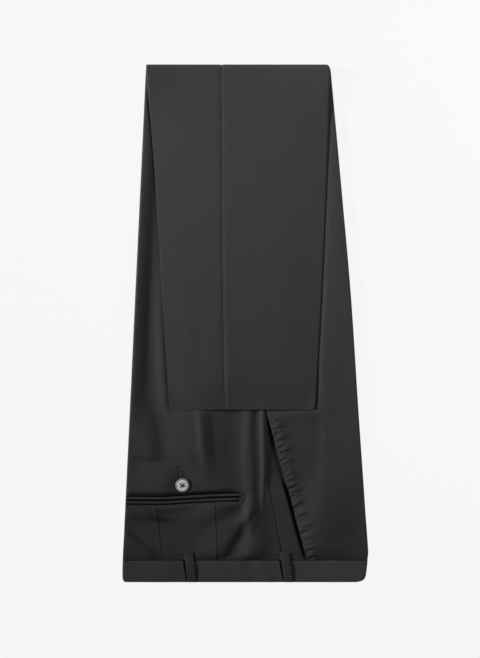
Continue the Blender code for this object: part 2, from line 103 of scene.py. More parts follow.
# A place along the cloth is measured by how far it is along the legs: as y up to the knee fold, then
# round the fold, then back over the legs to the hem.
FOLD_PATH = math.pi * KNEE_STACK / 2
HEM_AT = 2 * FOLD_CENTRE_Y + FOLD_PATH - HEM_Y

Outline = namedtuple("Outline", "y back seam front")
UNDER_RUN = (  # from the waist seam to the knee fold
    Outline(WAIST_SEAM_Y, -0.1498, 0.0472, 0.1493),
    Outline(-0.2784, -0.1493, 0.0436, 0.1501),
    Outline(-0.2320, -0.1471, 0.0346, 0.1469),
    Outline(-0.1979, -0.1455, 0.0273, 0.1446),
    Outline(HEM_Y, -0.1411, 0.0256, 0.1382),
    Outline(0.0339, -0.1346, 0.0074, 0.1291),
    Outline(0.1559, -0.1288, -0.0086, 0.1184),
    Outline(FOLD_TIP_Y, -0.1213, -0.0295, 0.1038),
)
OVER_RUN = (  # from the hems to the knee fold
    Outline(HEM_Y, -0.0926, -0.0252, 0.0850),
    Outline(-0.0303, -0.0974, -0.0265, 0.0893),
    Outline(0.0473, -0.1020, -0.0278, 0.0933),
    Outline(0.1742, -0.1099, -0.0288, 0.0988),
    Outline(FOLD_TIP_Y, -0.1213, -0.0295, 0.1030),
)
BAND_OUTLINE = (  # the waistband
    Outline(WAIST_EDGE_Y, -0.1472, 0.0, 0.1365),
    Outline(-0.3145, -0.1490, 0.0, 0.1424),
    Outline(-0.3115, -0.1499, 0.0, 0.1459),
    Outline(-0.3060, -0.1502, 0.0, 0.1476),
    Outline(WAIST_SEAM_Y + SEAM_GAP / 2, -0.1498, 0.0, 0.1494),
)

# The slanted side pocket.
POCKET_TOP_X, POCKET_FOOT_Y = 0.0752, -0.1088
POCKET_LENGTH = POCKET_FOOT_Y - WAIST_SEAM_Y
MOUTH_GAPE, MOUTH_ROLL = 0.0017, 0.036
FACING_SINK, FACING_THICKNESS = 0.0031, 0.0006
PICK_INSET, PICK_SPACING, PICK_HALF = 0.0055, 0.0071, 0.0009

# The welted back pocket. Its slit sinks a little in the middle.
SlitPoint = namedtuple("SlitPoint", "x y")
SLIT = (
    SlitPoint(-0.1560, -0.2160),
    SlitPoint(-0.1465, -0.2160),
    SlitPoint(-0.1000, -0.2163),
    SlitPoint(-0.0680, -0.2145),
    SlitPoint(-0.0350, -0.2127),
    SlitPoint(-0.0066, -0.2121),
    SlitPoint(0.0100, -0.2121),
)
SLIT_END_X, SLIT_MEAN_Y = -0.0066, -0.2143
WELT_WIDTH, WELT_MOUTH, WELT_THICKNESS = 0.0031, 0.0022, 0.00144
CHANNEL_HALF, CHANNEL_DEPTH = 0.0056, 0.0014
TACK_HALF = 0.0052
BUTTON_X, BUTTON_Y = -0.0768, -0.1975
BUTTON_DENT, BUTTON_DENT_RADIUS = 0.0009, 0.0108
BUTTONHOLE = ((-0.0820, -0.1766), (-0.0779, -0.1960))

Dart = namedtuple("Dart", "x_pocket y_pocket x_waist")
DARTS = (Dart(-0.1090, -0.2240, -0.1017), Dart(-0.0367, -0.2210, -0.0350))
DART_FULLNESS, DART_LINE = 0.00045, 0.00030

Loop = namedtuple("Loop", "name x_foot x_top")
BELT_LOOPS = (Loop("back", -0.0694, -0.0648), Loop("side", 0.0478, 0.0533))

# Radii of the threads, and of the near-black tubes that paint shade in the ditches, in the back pocket's
# mouth and in the waist seam.
PICK_RADIUS, DITCH_RADIUS, MOUTH_SHADE_RADIUS, WAIST_DITCH_RADIUS = 0.00024, 0.00075, 0.00115, 0.0003
TACK_RADIUS, TACK_DITCH_RADIUS, TACK_BAR_RADIUS = 0.00075, 0.00045, 0.00065
LIP_RADIUS, LIP_BAR_RADIUS, BUTTON_THREAD_RADIUS = 0.00070, 0.00085, 0.00034

# ---- Creases. Each is a soft ridge, or a trough where its height is below 0, through the points
# of its path. It falls off to nothing over its own width on each side. All in millimetres.

Point = namedtuple("Point", "along across height")
Crease = namedtuple("Crease", "name left right path")


def crease(name, left, right, *path):
    return Crease(name, left, right, tuple(Point(*point) for point in path))


DOWN_THE_LEG = (  # path points are (y, x, height); left is the side of the back crease
    crease("roll of the back crease", 6, 18, (280, -120, 0.6), (230, -122.5, 2.2), (150, -127, 3.4),
        (90, -130, 3.9), (30, -133, 4.0), (-40, -135.5, 3.8), (-90, -138, 3.5), (-112, -139, 2.2),
        (-128, -140, 0.9), (-170, -143, 0.7), (-205, -144, 0.5)),
    crease("its lower end", 24, 17, (-96, -128, 0.3), (-116, -124, 1.4), (-137, -120, 1.8), (-157, -117, 2.0),
        (-166, -116, 1.8), (-175, -115, 0.2)),
    crease("trough beside it", 13, 14, (285, -104, -0.6), (200, -106, -1.3), (100, -108, -1.5),
        (30, -112, -1.6), (-80, -113.5, -1.6), (-108, -109, -1.3), (-128, -101, -0.8), (-147, -98, -0.6),
        (-167, -93, -0.5)),
    crease("rise to the folded-over legs at the back", 15, 5, (60, -108, 0.1), (30, -106, 0.6),
        (-20, -102, 1.1), (-70, -99, 1.2), (-98, -97, 1.0), (-110, -95, 0.2)),
    crease("bump beside the button", 48, 17, (-163, -98, 0.3), (-172, -97, 2.2), (-186, -97, 2.8),
        (-197, -98, 1.8), (-206, -99, 0.4)),
    crease("rise to them at the front", 5, 40, (250, 108, 0.3), (170, 103, 1.0), (40, 98, 1.6),
        (-60, 92.5, 1.6), (-100, 90, 1.3), (-116, 88, 0.3)),
    crease("fullness of the seat", 46, 42, (-20, -60, 2.4), (-85, -60, 4.4), (-147, -59.5, 4.8),
        (-167, -57, 3.6), (-186, -51, 1.8), (-205, -47, 0.4)),
    crease("its steep front", 9, 16, (-80, -55, 1.2), (-108, -55, 1.8), (-128, -53, 2.5), (-150, -52, 2.6),
        (-168, -49, 1.8), (-184, -45, 0.4)),
    crease("shoulder in front of it", 14, 17, (-80, -28, 0.4), (-112, -28, 0.4), (-150, -27, 0.4),
        (-172, -25, 0.1)),
    crease("hollow in front of the seat", 20, 13, (-70, -8, -1.2), (-108, -7.5, -1.4), (-137, -8.5, -1.4),
        (-157, -11, -1.3), (-176, -11, -1.2), (-196, -9, -0.9), (-207, -9, -0.1)),
    crease("slope to the outseam", 11, 26, (-206, 6.5, 0.2), (-216, 6, 1.6), (-228, 5.5, 3.2),
        (-242, 6.5, 3.4), (-254, 8, 2.0), (-264, 9, 0.3)),
    crease("roll in front of it", 13, 7, (-70, 5.5, 1.0), (-108, 5, 1.1), (-137, 4.5, 1.1), (-157, 5, 1.1),
        (-186, 6.5, 1.1), (-206, 7.5, 1.2), (-225, 9, 1.2), (-240, 11, 0.4)),
    crease("groove beside the outseam", 7, 5, (-70, 15, -1.2), (-137, 15.2, -1.3), (-157, 16, -1.3),
        (-180, 16.6, -1.3), (-205, 16.8, -1.1), (-222, 17, -0.6), (-236, 16, -0.1)),
    crease("roll along the outseam", 5.5, 3.2, (-70, 22, 1.4), (-112, 22.4, 1.5), (-137, 23, 1.4),
        (-180, 23.4, 1.3), (-200, 22.6, 1.0), (-214, 21.5, 0.5), (-226, 20, 0.1)),
    crease("edge of that fold", 13, 9, (-190, 26.0, -0.1), (-206, 27.6, -0.4), (-222, 30.4, -0.7),
        (-238, 33.6, -0.7), (-254, 36.8, -0.5), (-270, 40.0, -0.2)),
    crease("wedge at the pocket's end", 28, 22, (-212, -19, 0.4), (-218, -23, 2.2), (-225.5, -30, 3.4),
        (-234, -39, 3.0), (-242, -48, 1.3), (-249, -55, 0.1)),
    crease("rise out of it", 11, 9, (-219, 7, 0.4), (-230, 4, 2.4), (-240, -1, 2.2), (-250, -7, 0.2)),
    crease("fall to the waist", 32, 18, (-233, 4, 0.6), (-240, -2, 2.0), (-245, -6.5, 2.9),
        (-255, -15.5, 3.2), (-264, -23, 3.4), (-274, -29, 3.4), (-284, -35, 2.6), (-289, -37, 1.6)),
    crease("valley to the waist", 10, 9, (-236, 6.5, -0.4), (-245, 2, -1.2), (-255, -3, -1.6),
        (-264, -8.5, -1.6), (-274, -13.4, -1.6), (-284, -18, -1.5), (-289, -20, -1.3)),
    crease("ridge beside the valley", 16, 27, (-246, 8, 0.8), (-255, 9, 2.2), (-264, 11, 3.8), (-274, 8, 4.8),
        (-284, 5.5, 4.4), (-289, 4.5, 2.6)),
    crease("rib at the back", 24, 8, (-217, -146, 3.2), (-221.5, -138, 5.2), (-226, -131, 5.8),
        (-231, -123, 5.4), (-235, -114, 3.8), (-239, -105, 1.8), (-243, -96, 0.2)),
    crease("shade beside it", 14, 30, (-218, -122, 0.4), (-224, -120, 2.6), (-230, -116, 3.2),
        (-236, -112, 2.2), (-242, -106, 0.4)),
    crease("rib at the waist", 16, 8, (-250, -153, 2.4), (-256, -148, 4.6), (-262, -141, 5.2),
        (-269, -132, 5.0), (-276, -122, 4.0), (-284, -112, 2.2), (-289, -105, 0.6)),
    crease("dip in the front panel", 18, 8, (-60, 88, -0.4), (-110, 90, -0.7), (-150, 90, -0.8),
        (-190, 88, -0.4)),
    crease("loft of the front panel", 34, 54, (-172, 103, 0.2), (-198, 97, 3.0), (-222, 93, 5.6),
        (-250, 92, 6.6), (-270, 94, 5.4), (-283, 96, 2.6), (-290, 98, 0.8)),
    crease("down to the pocket's end", 12, 11, (-176, -60, 0.2), (-185, -53, 1.3), (-193, -44, 1.7),
        (-199, -33, 1.4), (-204, -22, 0.2)),
)
ACROSS_THE_LEG = (  # path points are (x, y, height); left is the side of the waist
    crease("dip above the button", 10, 7, (-142, -168.0, -0.2), (-122, -168.5, -2.4), (-98, -170, -2.2),
        (-80, -173, -0.3)),
    crease("roll above the back pocket", 4, 36, (-150, -207.5, 2.6), (-110, -207.5, 4.4), (-75, -207, 4.0),
        (-55, -206, 3.0), (-30, -205, 1.8), (-12, -204, 0.3)),
    crease("its front end", 4, 14, (-56, -206, 0.2), (-44, -205, 1.0), (-20, -204, 1.2), (-8, -203, 0.2)),
    crease("rise to the hems", 16, 5, (22, -111, 0.1), (40, -110, 1.7), (75, -110, 1.7), (92, -110, 0.2)),
    crease("edge under the pocket", 9, 4, (-150, -223.5, 1.5), (-128, -224, 1.5), (-106, -224, 2.0),
        (-84, -223.5, 1.7), (-60, -222.5, 1.2), (-38, -222, 1.7), (-22, -222, 1.5), (-12, -222, 0.2)),
)
FOLDED_OVER = (  # path points are (y, x, height), on the legs that lie on top
    crease("front of the outseam", 8, 22, (0, -20, 0.1), (-40, -20, 0.5), (-104, -20, 0.9)),
    crease("back of the calf", 16, 14, (110, -76, 0.1), (0, -72, 0.4), (-90, -70, 0.3)),
    crease("shin", 20, 16, (150, 56, 0.2), (0, 50, 0.4), (-60, 48, 0.2)),
)
UNDERSIDE = (  # troughs seen from below, where the cloth rests; path points are (y, x, height)
    crease("seat", 12, 20, (-60, -62, -0.3), (-120, -58, -0.7), (-190, -50, -0.5)),
    crease("outseam", 6, 8, (-60, 10, -0.2), (-150, 12, -0.6), (-235, 13, -0.4)),
    crease("back thigh", 9, 8, (120, -109, -0.2), (0, -110, -0.6), (-130, -112, -0.4)),
    crease("front thigh", 10, 12, (80, 78, -0.2), (-20, 84, -0.5), (-120, 89, -0.3)),
    crease("waist to pocket", 7, 8, (-235, -2, -0.3), (-260, -16, -0.6), (-280, -30, -0.5)),
)
BAND_CREASES = (
    crease("behind the side loop", 14, 7, (-290, -8, 0.9), (-314, 3, 0.9)),
    crease("beside it", 7, 10, (-290, 14, 1.0), (-314, 27, 1.0)),
    crease("at the back", 40, 40, (-290, -104, 1.0), (-314, -104, 1.0)),
    crease("between the loops", 50, 30, (-290, -30, 0.9), (-314, -28, 0.9)),
    crease("at the front", 30, 34, (-290, 112, 0.8), (-314, 112, 0.8)),
)
Pucker = namedtuple("Pucker", "y length width height")
PUCKERS = (  # short creases that the pick stitches pull in beside the pocket's mouth
    Pucker(-0.1350, 0.009, 0.0020, 0.0008),
    Pucker(-0.1522, 0.014, 0.0022, 0.0013),
    Pucker(-0.1668, 0.013, 0.0020, 0.0011),
    Pucker(-0.1815, 0.010, 0.0018, 0.0008),
    Pucker(-0.2010, 0.014, 0.0022, 0.0013),
    Pucker(-0.2115, 0.009, 0.0018, 0.0010),
    Pucker(-0.2242, 0.014, 0.0020, 0.0013),
    Pucker(-0.2547, 0.014, 0.0024, 0.0013),
    Pucker(-0.2767, 0.013, 0.0020, 0.0010),
    Pucker(-0.2868, 0.014, 0.0018, 0.0010),
)

# ---- Arithmetic on arrays ---------------------------------------------------------------------------


def smoothstep(t):
    t = np.clip(t, 0.0, 1.0)
    return t * t * (3 - 2 * t)


def mix(a, b, t):
    return a + (b - a) * t


def bell(t):
    """1 at 0, falling smoothly to 0 at 1 and beyond."""
    return 1 - smoothstep(np.abs(t))


def through(stations, values, at):
    """A smooth cubic through values at stations, which rise."""
    stations, values = np.asarray(stations, float), np.asarray(values, float)
    count = len(stations)
    ahead = np.minimum(np.arange(count) + 1, count - 1)
    behind = np.maximum(np.arange(count) - 1, 0)
    slopes = (values[ahead] - values[behind]) / (stations[ahead] - stations[behind])
    at = np.clip(at, stations[0], stations[-1])
    k = np.clip(np.searchsorted(stations, at, side="right") - 1, 0, count - 2)
    span = stations[k + 1] - stations[k]
    t = (at - stations[k]) / span
    cubic = 2 * t**3 - 3 * t**2
    bends = slopes[k] * (t**3 - 2 * t**2 + t) + slopes[k + 1] * (t**3 - t**2)
    return values[k] * (1 + cubic) - values[k + 1] * cubic + bends * span


def column(rows, name, y):
    """One column of an outline table at y."""
    return through([row.y for row in rows], [getattr(row, name) for row in rows], y)


def back_and_front(rows, y):
    """x of both creases at y."""
    return column(rows, "back", y), column(rows, "front", y)


def slit_y(x):
    """The back pocket's slit, smooth through its points."""
    return through([point.x for point in SLIT], [point.y for point in SLIT], x)


# ---- The cloth's place ------------------------------------------------------------------------------


def whereabouts(along):
    """y, and how far round the knee fold: 0 on the lower run, 1 on the folded-over legs."""
    over_y = 2 * FOLD_CENTRE_Y + FOLD_PATH - along
    y = np.where(along < FOLD_CENTRE_Y, along, np.minimum(over_y, FOLD_CENTRE_Y))
    turn = np.clip((along - FOLD_CENTRE_Y) / FOLD_PATH, 0, 1)
    return y, turn


def edge(name, along):
    """x of the back crease, the outseam or the front crease."""
    y, turn = whereabouts(along)
    under, over = column(UNDER_RUN, name, y), column(OVER_RUN, name, y)
    x = mix(under, over, turn)
    to_hem = np.clip(1 - (HEM_AT - along) / 0.012, 0, 1) ** 2
    if name == "front":
        x = x - FOLD_CORNER_PULL * np.sin(math.pi * turn) ** 4 - HEM_PULL_FRONT * to_hem
    if name == "back":
        x = x + HEM_PULL_BACK * to_hem
    return x


def rest_gap(y):
    """Half the gap between the legs: wider at the knee fold and at the hems."""
    near_fold = smoothstep((y - FOLD_CENTRE_Y + FOLD_GAP_REACH) / FOLD_GAP_REACH)
    near_hem = smoothstep((HEM_Y + HEM_GAP_REACH - y) / HEM_GAP_REACH)
    return REST_GAP + (FOLD_GAP - REST_GAP) * near_fold + (HEM_GAP - REST_GAP) * near_hem


def stack_height(y, turn):
    to_fold = smoothstep((y - HEM_Y) / (FOLD_TIP_Y - HEM_Y))
    return mix(mix(HIP_STACK, HEM_STACK, turn), KNEE_STACK, to_fold)


def crease_radius(along):
    return (stack_height(*whereabouts(along)) - SEAM_GAP) / 4


def slit_start():
    """x where the slit leaves the back crease's roll, and the radius of that roll."""
    radius = float(crease_radius(SLIT_MEAN_Y))
    return float(column(UNDER_RUN, "back", SLIT_MEAN_Y)) + radius, radius


def thinness(x, y):
    """How thin the folded-over legs are pressed, as a share of their full height: less towards their
    creases and their hems."""
    back, front = back_and_front(OVER_RUN, y)
    aside = (x - (back + front) / 2) / ((front - back) / 2)
    to_creases = EDGE_PRESS * np.clip(np.abs(aside), 0, 1) ** 2.2
    to_hem = HEM_PRESS * smoothstep((HEM_Y + 0.045 - y) / 0.045)
    pressed_out = np.minimum(np.hypot(to_creases, to_hem), THINNEST)
    return 1 - pressed_out * smoothstep((FOLD_CENTRE_Y - y) / 0.070)


def locate(along, x, leg, inward):
    """Points that lie inward of a leg's outer face, as an array of (x, y, z)."""
    y, turn = whereabouts(along)
    gap, stack = rest_gap(y), stack_height(y, turn)
    waist_lift = LOOP_LIFT * smoothstep((WAIST_SEAM_Y + LOOP_REACH + LIFT_RAMP - y) / LIFT_RAMP)
    meeting = stack_height(y, 0.0) + gap + waist_lift
    depth = gap + inward if leg == "left" else gap + stack - inward
    depth = np.where(turn >= 1, depth * thinness(x, y) + ride_up(x, y), depth)
    angle = math.pi * turn
    places = (x + 0 * depth, y + np.sin(angle) * depth, meeting - np.cos(angle) * depth)
    return np.stack(np.broadcast_arrays(*places), axis=-1)


def mouth_x(y):
    """The slanted edge of the front panel along the side pocket, or the outseam beyond its foot."""
    foot = column(UNDER_RUN, "seam", POCKET_FOOT_Y)
    t = (y - WAIST_SEAM_Y) / POCKET_LENGTH
    return np.where(t < 1, mix(POCKET_TOP_X, foot, t), column(UNDER_RUN, "seam", y))


# ---- Relief ---------------------------------------------------------------------------------------


def creases_at(creases, along, across):
    """The height of all the creases of a table, in metres."""
    total = 0.0 * along * across
    for crease in creases:
        alongs, acrosses, heights = MM * np.array(sorted(crease.path)).T
        middle, ahead, behind = (through(alongs, acrosses, along + step) for step in (0, MM, -MM))
        height = through(alongs, heights, along)
        past_end = np.maximum(alongs[0] - along, along - alongs[-1])
        height = height * smoothstep(1 - past_end / (CREASE_FADE * MM))
        aside = (across - middle) / np.sqrt(1 + ((ahead - behind) / (2 * MM)) ** 2)
        width = MM * np.where(aside < 0, crease.left, crease.right)
        total = total + height * bell(aside / width)
    return total


def raised_cloth(x, y):
    """The height of the upper leg's creases on the lower run, before anything presses on them."""
    height = creases_at(DOWN_THE_LEG, y, x) + creases_at(ACROSS_THE_LEG, x, y)
    height = np.where(height < 0, DEEPEST * np.tanh(height / DEEPEST), height)
    back, front = back_and_front(UNDER_RUN, y)
    edges = smoothstep((x - back + 0.0015) / 0.0035) * smoothstep((front - x) / 0.008)
    return height * edges * smoothstep((FOLD_CENTRE_Y - 0.004 - y) / 0.020)


def pressed(y):
    """What is left of the creases under the folded-over legs, which ride on them near the hems."""
    return CREASES_LEFT * smoothstep((HEM_Y + HEM_GAP_REACH - y) / HEM_GAP_REACH)


def covered(x, y):
    """1 where the folded-over legs lie on the cloth, 0 where it is free."""
    back, front = back_and_front(OVER_RUN, y)
    inside = smoothstep((x - back + 0.003) / 0.004) * smoothstep((front + 0.0022 - x) / 0.003)
    return inside * smoothstep((y - HEM_Y + 0.004) / 0.006)


def ride_up(x, y):
    """How far the creases below lift the folded-over legs."""
    spread = [np.maximum(raised_cloth(x + aside, y), 0) for aside in (-0.012, -0.006, 0, 0.006, 0.012)]
    return RIDE_SHARE * sum(spread) / len(spread) * pressed(y)


def near_slit(x, y):
    above = y - slit_y(x)
    near = np.where(above > 0, smoothstep((0.0090 - above) / 0.0035), smoothstep((0.0086 + above) / 0.0034))
    return near * smoothstep((SLIT_END_X + 0.010 - x) / 0.010)


def seat_relief(x, y):
    """How far the cloth of the upper leg stands above its resting level on the lower run."""
    height = raised_cloth(x, y)
    under = np.where(height > 0, height * pressed(y), height)
    height = mix(height, under, covered(x, y))
    to_seam = y - WAIST_SEAM_Y
    height = height * smoothstep(to_seam / 0.007) * (1 - 0.85 * near_slit(x, y))
    from_button = np.hypot(x - BUTTON_X, y - BUTTON_Y)
    height = height - BUTTON_DENT * np.exp(-((from_button / BUTTON_DENT_RADIUS) ** 6))
    return height - WAIST_DIP * np.exp(-to_seam / 0.005)


def dart_x(dart, y):
    t = (y - dart.y_pocket) / (WAIST_SEAM_Y - dart.y_pocket)
    return mix(dart.x_pocket, dart.x_waist, t)


def dart_grooves(x, y):
    """The stitched lines of the darts: the cloth is full on the side of the back crease, where the dart
    is folded under, and drops into the line."""
    depth = 0.0 * x
    for dart in DARTS:
        aside = x - dart_x(dart, y)
        below = smoothstep((dart.y_pocket + 0.002 - y) / 0.004)
        full = DART_FULLNESS * np.exp(aside / 0.007) * (aside <= 0)
        line = DART_LINE * np.exp(-((aside / 0.0005) ** 2)) * (aside > 0)
        depth = depth + below * (line - full)
    return depth


def pocket_channel(x, y):
    """The welts lie in a shallow channel of the back panel."""
    across = np.abs(y - slit_y(x))
    walls = smoothstep((CHANNEL_HALF + 0.0004 - across) / 0.0008)
    return CHANNEL_DEPTH * walls * smoothstep((SLIT_END_X + 0.0012 - x) / 0.0012)


def mouth_lift(x, y):
    """How far the front panel stands up along the open mouth of the side pocket."""
    along = np.clip((y - WAIST_SEAM_Y) / POCKET_LENGTH, 0, 1)
    across = np.maximum(x - mouth_x(y), 0) / MOUTH_ROLL
    return MOUTH_GAPE * np.sin(math.pi * along) ** 0.7 * (1 - smoothstep(across))


def puckers_at(x, y):
    total = 0.0 * x
    inside = x - mouth_x(y)
    for pucker in PUCKERS:
        reach = smoothstep(inside / 0.003) * smoothstep((pucker.length - inside) / (0.6 * pucker.length))
        wave = (y - pucker.y - 0.25 * inside) / pucker.width
        total = total + pucker.height * reach * wave * np.exp(-(wave**2)) * 2
    count = (y - WAIST_SEAM_Y) / PICK_SPACING
    stitch = np.mod(count, 1.0) - 0.5
    dimple = np.exp(-(((inside - PICK_INSET) / 0.0014) ** 2) - (stitch / 0.17) ** 2)
    slanted = count - 0.5 - 30 * inside
    uneven = 0.62 + 0.38 * np.sin(2.9 * np.floor(slanted))
    from_tuck = 1 - np.mod(slanted, 1.0)
    full = smoothstep(from_tuck / 0.45) * smoothstep((1 - from_tuck) / 0.16)
    reach = 0.013 + 0.010 * uneven
    across = smoothstep(inside / 0.0085) * smoothstep((reach - inside) / (reach - 0.0085))
    total = total + 0.0017 * uneven * across * (0.45 + 0.55 * full)
    on_mouth = smoothstep((POCKET_FOOT_Y - 0.004 - y) / 0.002)
    return total * on_mouth - 0.00075 * dimple * on_mouth


def unevenness(x, y, height=0.00010):
    """The slight waviness that any cloth has."""
    slow = np.sin(41 * x + 1.3 + 1.7 * np.sin(23 * y)) * np.sin(37 * y + 0.6 + 1.4 * np.sin(29 * x))
    fast = np.sin(157 * x + 2 * np.sin(83 * y)) * np.sin(131 * y + 2.1 * np.sin(97 * x))
    return height * (slow + 0.45 * fast)


def rounding(distance, radius):
    """How far a round edge falls away at a distance inside it."""
    within = np.clip(radius - distance, 0, radius)
    return radius - np.sqrt(radius**2 - within**2)


# ---- Meshes ---------------------------------------------------------------------------------------


def object_from(name, verts, faces, finish, grain):
    """A piece of cloth or thread as one mesh, with its cloth_grain map in metres."""
    mesh = bpy.data.meshes.new(name)
    mesh.from_pydata([tuple(vert) for vert in verts], [], faces)
    layer = mesh.uv_layers.new(name="cloth_grain")
    corners = np.array([loop.vertex_index for loop in mesh.loops])
    layer.data.foreach_set("uv", np.asarray(grain)[corners].ravel())
    shape = bmesh.new()
    shape.from_mesh(mesh)
    bmesh.ops.recalc_face_normals(shape, faces=shape.faces)
    shape.to_mesh(mesh)
    shape.free()
    mesh.shade_smooth()
    mesh.set_sharp_from_angle(angle=math.radians(55))
    mesh.materials.append(finish)
    piece = bpy.data.objects.new(name, mesh)
    bpy.context.scene.collection.objects.link(piece)
    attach(piece, "root")
    return piece


def grid_faces(rows, columns, start, flip=False):
    faces = []
    for i in range(rows - 1):
        for j in range(columns - 1):
            a = start + i * columns + j
            quad = (a, a + 1, a + columns + 1, a + columns)
            faces.append(quad[::-1] if flip else quad)
    return faces


def closed_sheet(outer, inner, grain):
    """Vertices, faces and grain of a closed thin sheet between two grids of points."""
    rows, columns = outer.shape[:2]
    count = rows * columns
    faces = grid_faces(rows, columns, 0) + grid_faces(rows, columns, count, flip=True)
    border = list(range(columns)) + [i * columns + columns - 1 for i in range(1, rows)]
    border += [(rows - 1) * columns + j for j in range(columns - 2, -1, -1)]
    border += [i * columns for i in range(rows - 2, 0, -1)]
    faces += [(b, a, a + count, b + count) for a, b in zip(border, border[1:] + border[:1])]
    verts = np.concatenate([outer.reshape(-1, 3), inner.reshape(-1, 3)])
    return verts, faces, np.concatenate([grain.reshape(-1, 2)] * 2)


def shell(name, outer, inner, grain, finish):
    """A closed thin sheet as a piece of cloth."""
    verts, faces, grain = closed_sheet(outer, inner, grain)
    return object_from(name, verts, faces, finish, grain)


def ring_faces(count, sides, closed=False):
    """Faces between rings of points, with a cap at both ends where the rings don't close."""
    faces = []
    for i in range(count if closed else count - 1):
        ahead = (i + 1) % count * sides
        for j in range(sides):
            k = (j + 1) % sides
            faces.append((i * sides + j, i * sides + k, ahead + k, ahead + j))
    if not closed:
        faces += [tuple(range(sides))[::-1], tuple(range((count - 1) * sides, count * sides))]
    return faces


def steps_between(a, b, near_a, near_b, count):
    """x from line a to line b: fixed steps beside each line and count even ones between them."""
    start = [a + step for step in near_a]
    end = [b - step for step in near_b[::-1]]
    even = [mix(start[-1], end[0], (i + 1) / (count + 1)) for i in range(count)]
    return start + even + end


# ---- Leg panels -----------------------------------------------------------------------------------


def path_rows(fine, coarse, clusters=()):
    """Places along the legs, closer together on the hip than on the leg."""
    hip = np.arange(WAIST_SEAM_Y + SEAM_GAP / 2, HEM_Y + 0.02, fine)
    leg = np.arange(HEM_Y + 0.02, FOLD_CENTRE_Y, coarse)
    turn = FOLD_CENTRE_Y + FOLD_PATH * np.linspace(0, 1, 21)
    over = np.arange(FOLD_CENTRE_Y + FOLD_PATH + coarse, HEM_AT - 0.003, coarse)
    hem = HEM_AT - np.array([0.0030, 0.0018, 0.0010, 0.0006, 0.0003, 0.0001, 0.0])
    start = WAIST_SEAM_Y + SEAM_GAP / 2 + np.array([0.0002, 0.0005, 0.0009])
    rows = np.concatenate([hip, leg, turn, over, hem, start, *clusters])
    return np.unique(np.round(rows, 6))


def inner_end(side, along):
    """Where the inner half of the leg ends: at the inseam below the crotch, and on the hip at the fly or
    at the seat seam."""
    y, turn = whereabouts(along)
    radius = crease_radius(along)
    crease = edge("front" if side > 0 else "back", along)
    tuck = FRONT_TUCK if side > 0 else BACK_TUCK
    on_hip = crease - side * (radius + tuck)
    inseam = mix(edge("back", along), edge("front", along), 0.47) + side * SEAM_GAP / 2
    to_leg = np.where(turn > 0, 1.0, smoothstep((y - CROTCH_Y + 0.035) / 0.045))
    return mix(on_hip, inseam, to_leg)


def leg_panel(leg, side, along, flat, lift, dip, settings, finish):
    """A front or back panel: from the outseam or pocket mouth round its crease to its inner edge.
    flat is the list of x from the outseam side to the crease, lift(x, y, turn) raises the cloth, and
    dip(x, y, turn) sinks its outer face alone."""
    node = f"{leg}_front_panel" if side > 0 else f"{leg}_back_panel"
    shape = np.array([np.broadcast_to(x, along.shape) for x in flat]).T
    rows = np.broadcast_to(along[:, None], shape.shape)
    radius = crease_radius(along)[:, None]
    crease = edge("front" if side > 0 else "back", along)[:, None]
    centre = crease - side * radius
    angle = np.linspace(0, math.pi, ARC_STEPS + 1)[None, 1:]
    wall = settings.cloth_thickness
    y, turn = whereabouts(rows)
    warp = np.zeros_like(shape)  # the rows follow the back pocket's slit
    if leg == "left":
        warp = np.where(turn > 0, 0.0, (slit_y(shape) - SLIT_MEAN_Y) * bell((y - SLIT_MEAN_Y) / WARP_REACH))
    y = y + warp
    raised = lift(shape, y, turn)
    sunk = dip(shape, y, turn)
    tuck = mix(centre, inner_end(side, along)[:, None], np.linspace(0, 1, 9)[None, 1:])

    def across(reach):
        return np.concatenate([shape, centre + side * reach * np.sin(angle), tuck], axis=1)

    def inward(flat_in, reach, tuck_in):
        arc = radius - reach * np.cos(angle) - raised[:, -1:] * np.clip(np.cos(angle), 0, 1)
        return np.concatenate([flat_in, arc, tuck_in * np.ones_like(tuck)], axis=1)

    outer_x, inner_x = across(radius), across(radius - wall)
    outer_in = inward(sunk - raised, radius, 2 * radius)
    inner_in = inward(wall - raised, radius - wall, 2 * radius - wall)
    places = np.broadcast_to(along[:, None], outer_x.shape).copy()
    places[:, : shape.shape[1]] += warp
    hem_roll = rounding(HEM_AT - places, wall / 2)
    outer_in = outer_in + np.where(outer_in < inner_in, 1, -1) * hem_roll
    inner_in = inner_in + np.where(outer_in < inner_in, -1, 1) * hem_roll
    past_arc = centre + side * (radius * math.pi + np.abs(tuck - centre))
    reach = np.concatenate([shape, centre + side * radius * angle, past_arc], axis=1)
    piece = shell(f"{node}_cloth", locate(places, outer_x, leg, outer_in),
                  locate(places, inner_x, leg, inner_in), np.stack([reach, places], axis=-1), finish)
    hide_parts(node)


def left_lift(x, y, turn):
    on_under = np.where(turn > 0, 0.0, 1.0)
    return on_under * (seat_relief(x, y) + unevenness(x, y) * (1 - covered(x, y)))


def left_front_lift(x, y, turn):
    on_mouth = np.where((turn == 0) & (y < POCKET_FOOT_Y), mouth_lift(x, y) + puckers_at(x, y), 0)
    return left_lift(x, y, turn) + on_mouth


def leg_face(leg, x, y, out=0.0):
    """Points on a leg's outer face on the lower run, or out above it."""
    x, y = np.broadcast_arrays(np.asarray(x, float), np.asarray(y, float))
    lift = 0.0 * x
    if leg == "left":
        lift = np.where(x >= mouth_x(y), left_front_lift(x, y, 0.0 * x), left_lift(x, y, 0.0 * x))
    return locate(y, x, leg, -lift - out)


def right_lift(x, y, turn):
    over = creases_at(FOLDED_OVER, y, x) + unevenness(x, y)
    under = -creases_at(UNDERSIDE, y, x)
    free = smoothstep((FOLD_CENTRE_Y - 0.02 - y) / 0.05)
    return np.where(turn >= 1, over * free, np.where(turn > 0, 0.0, -under * free))


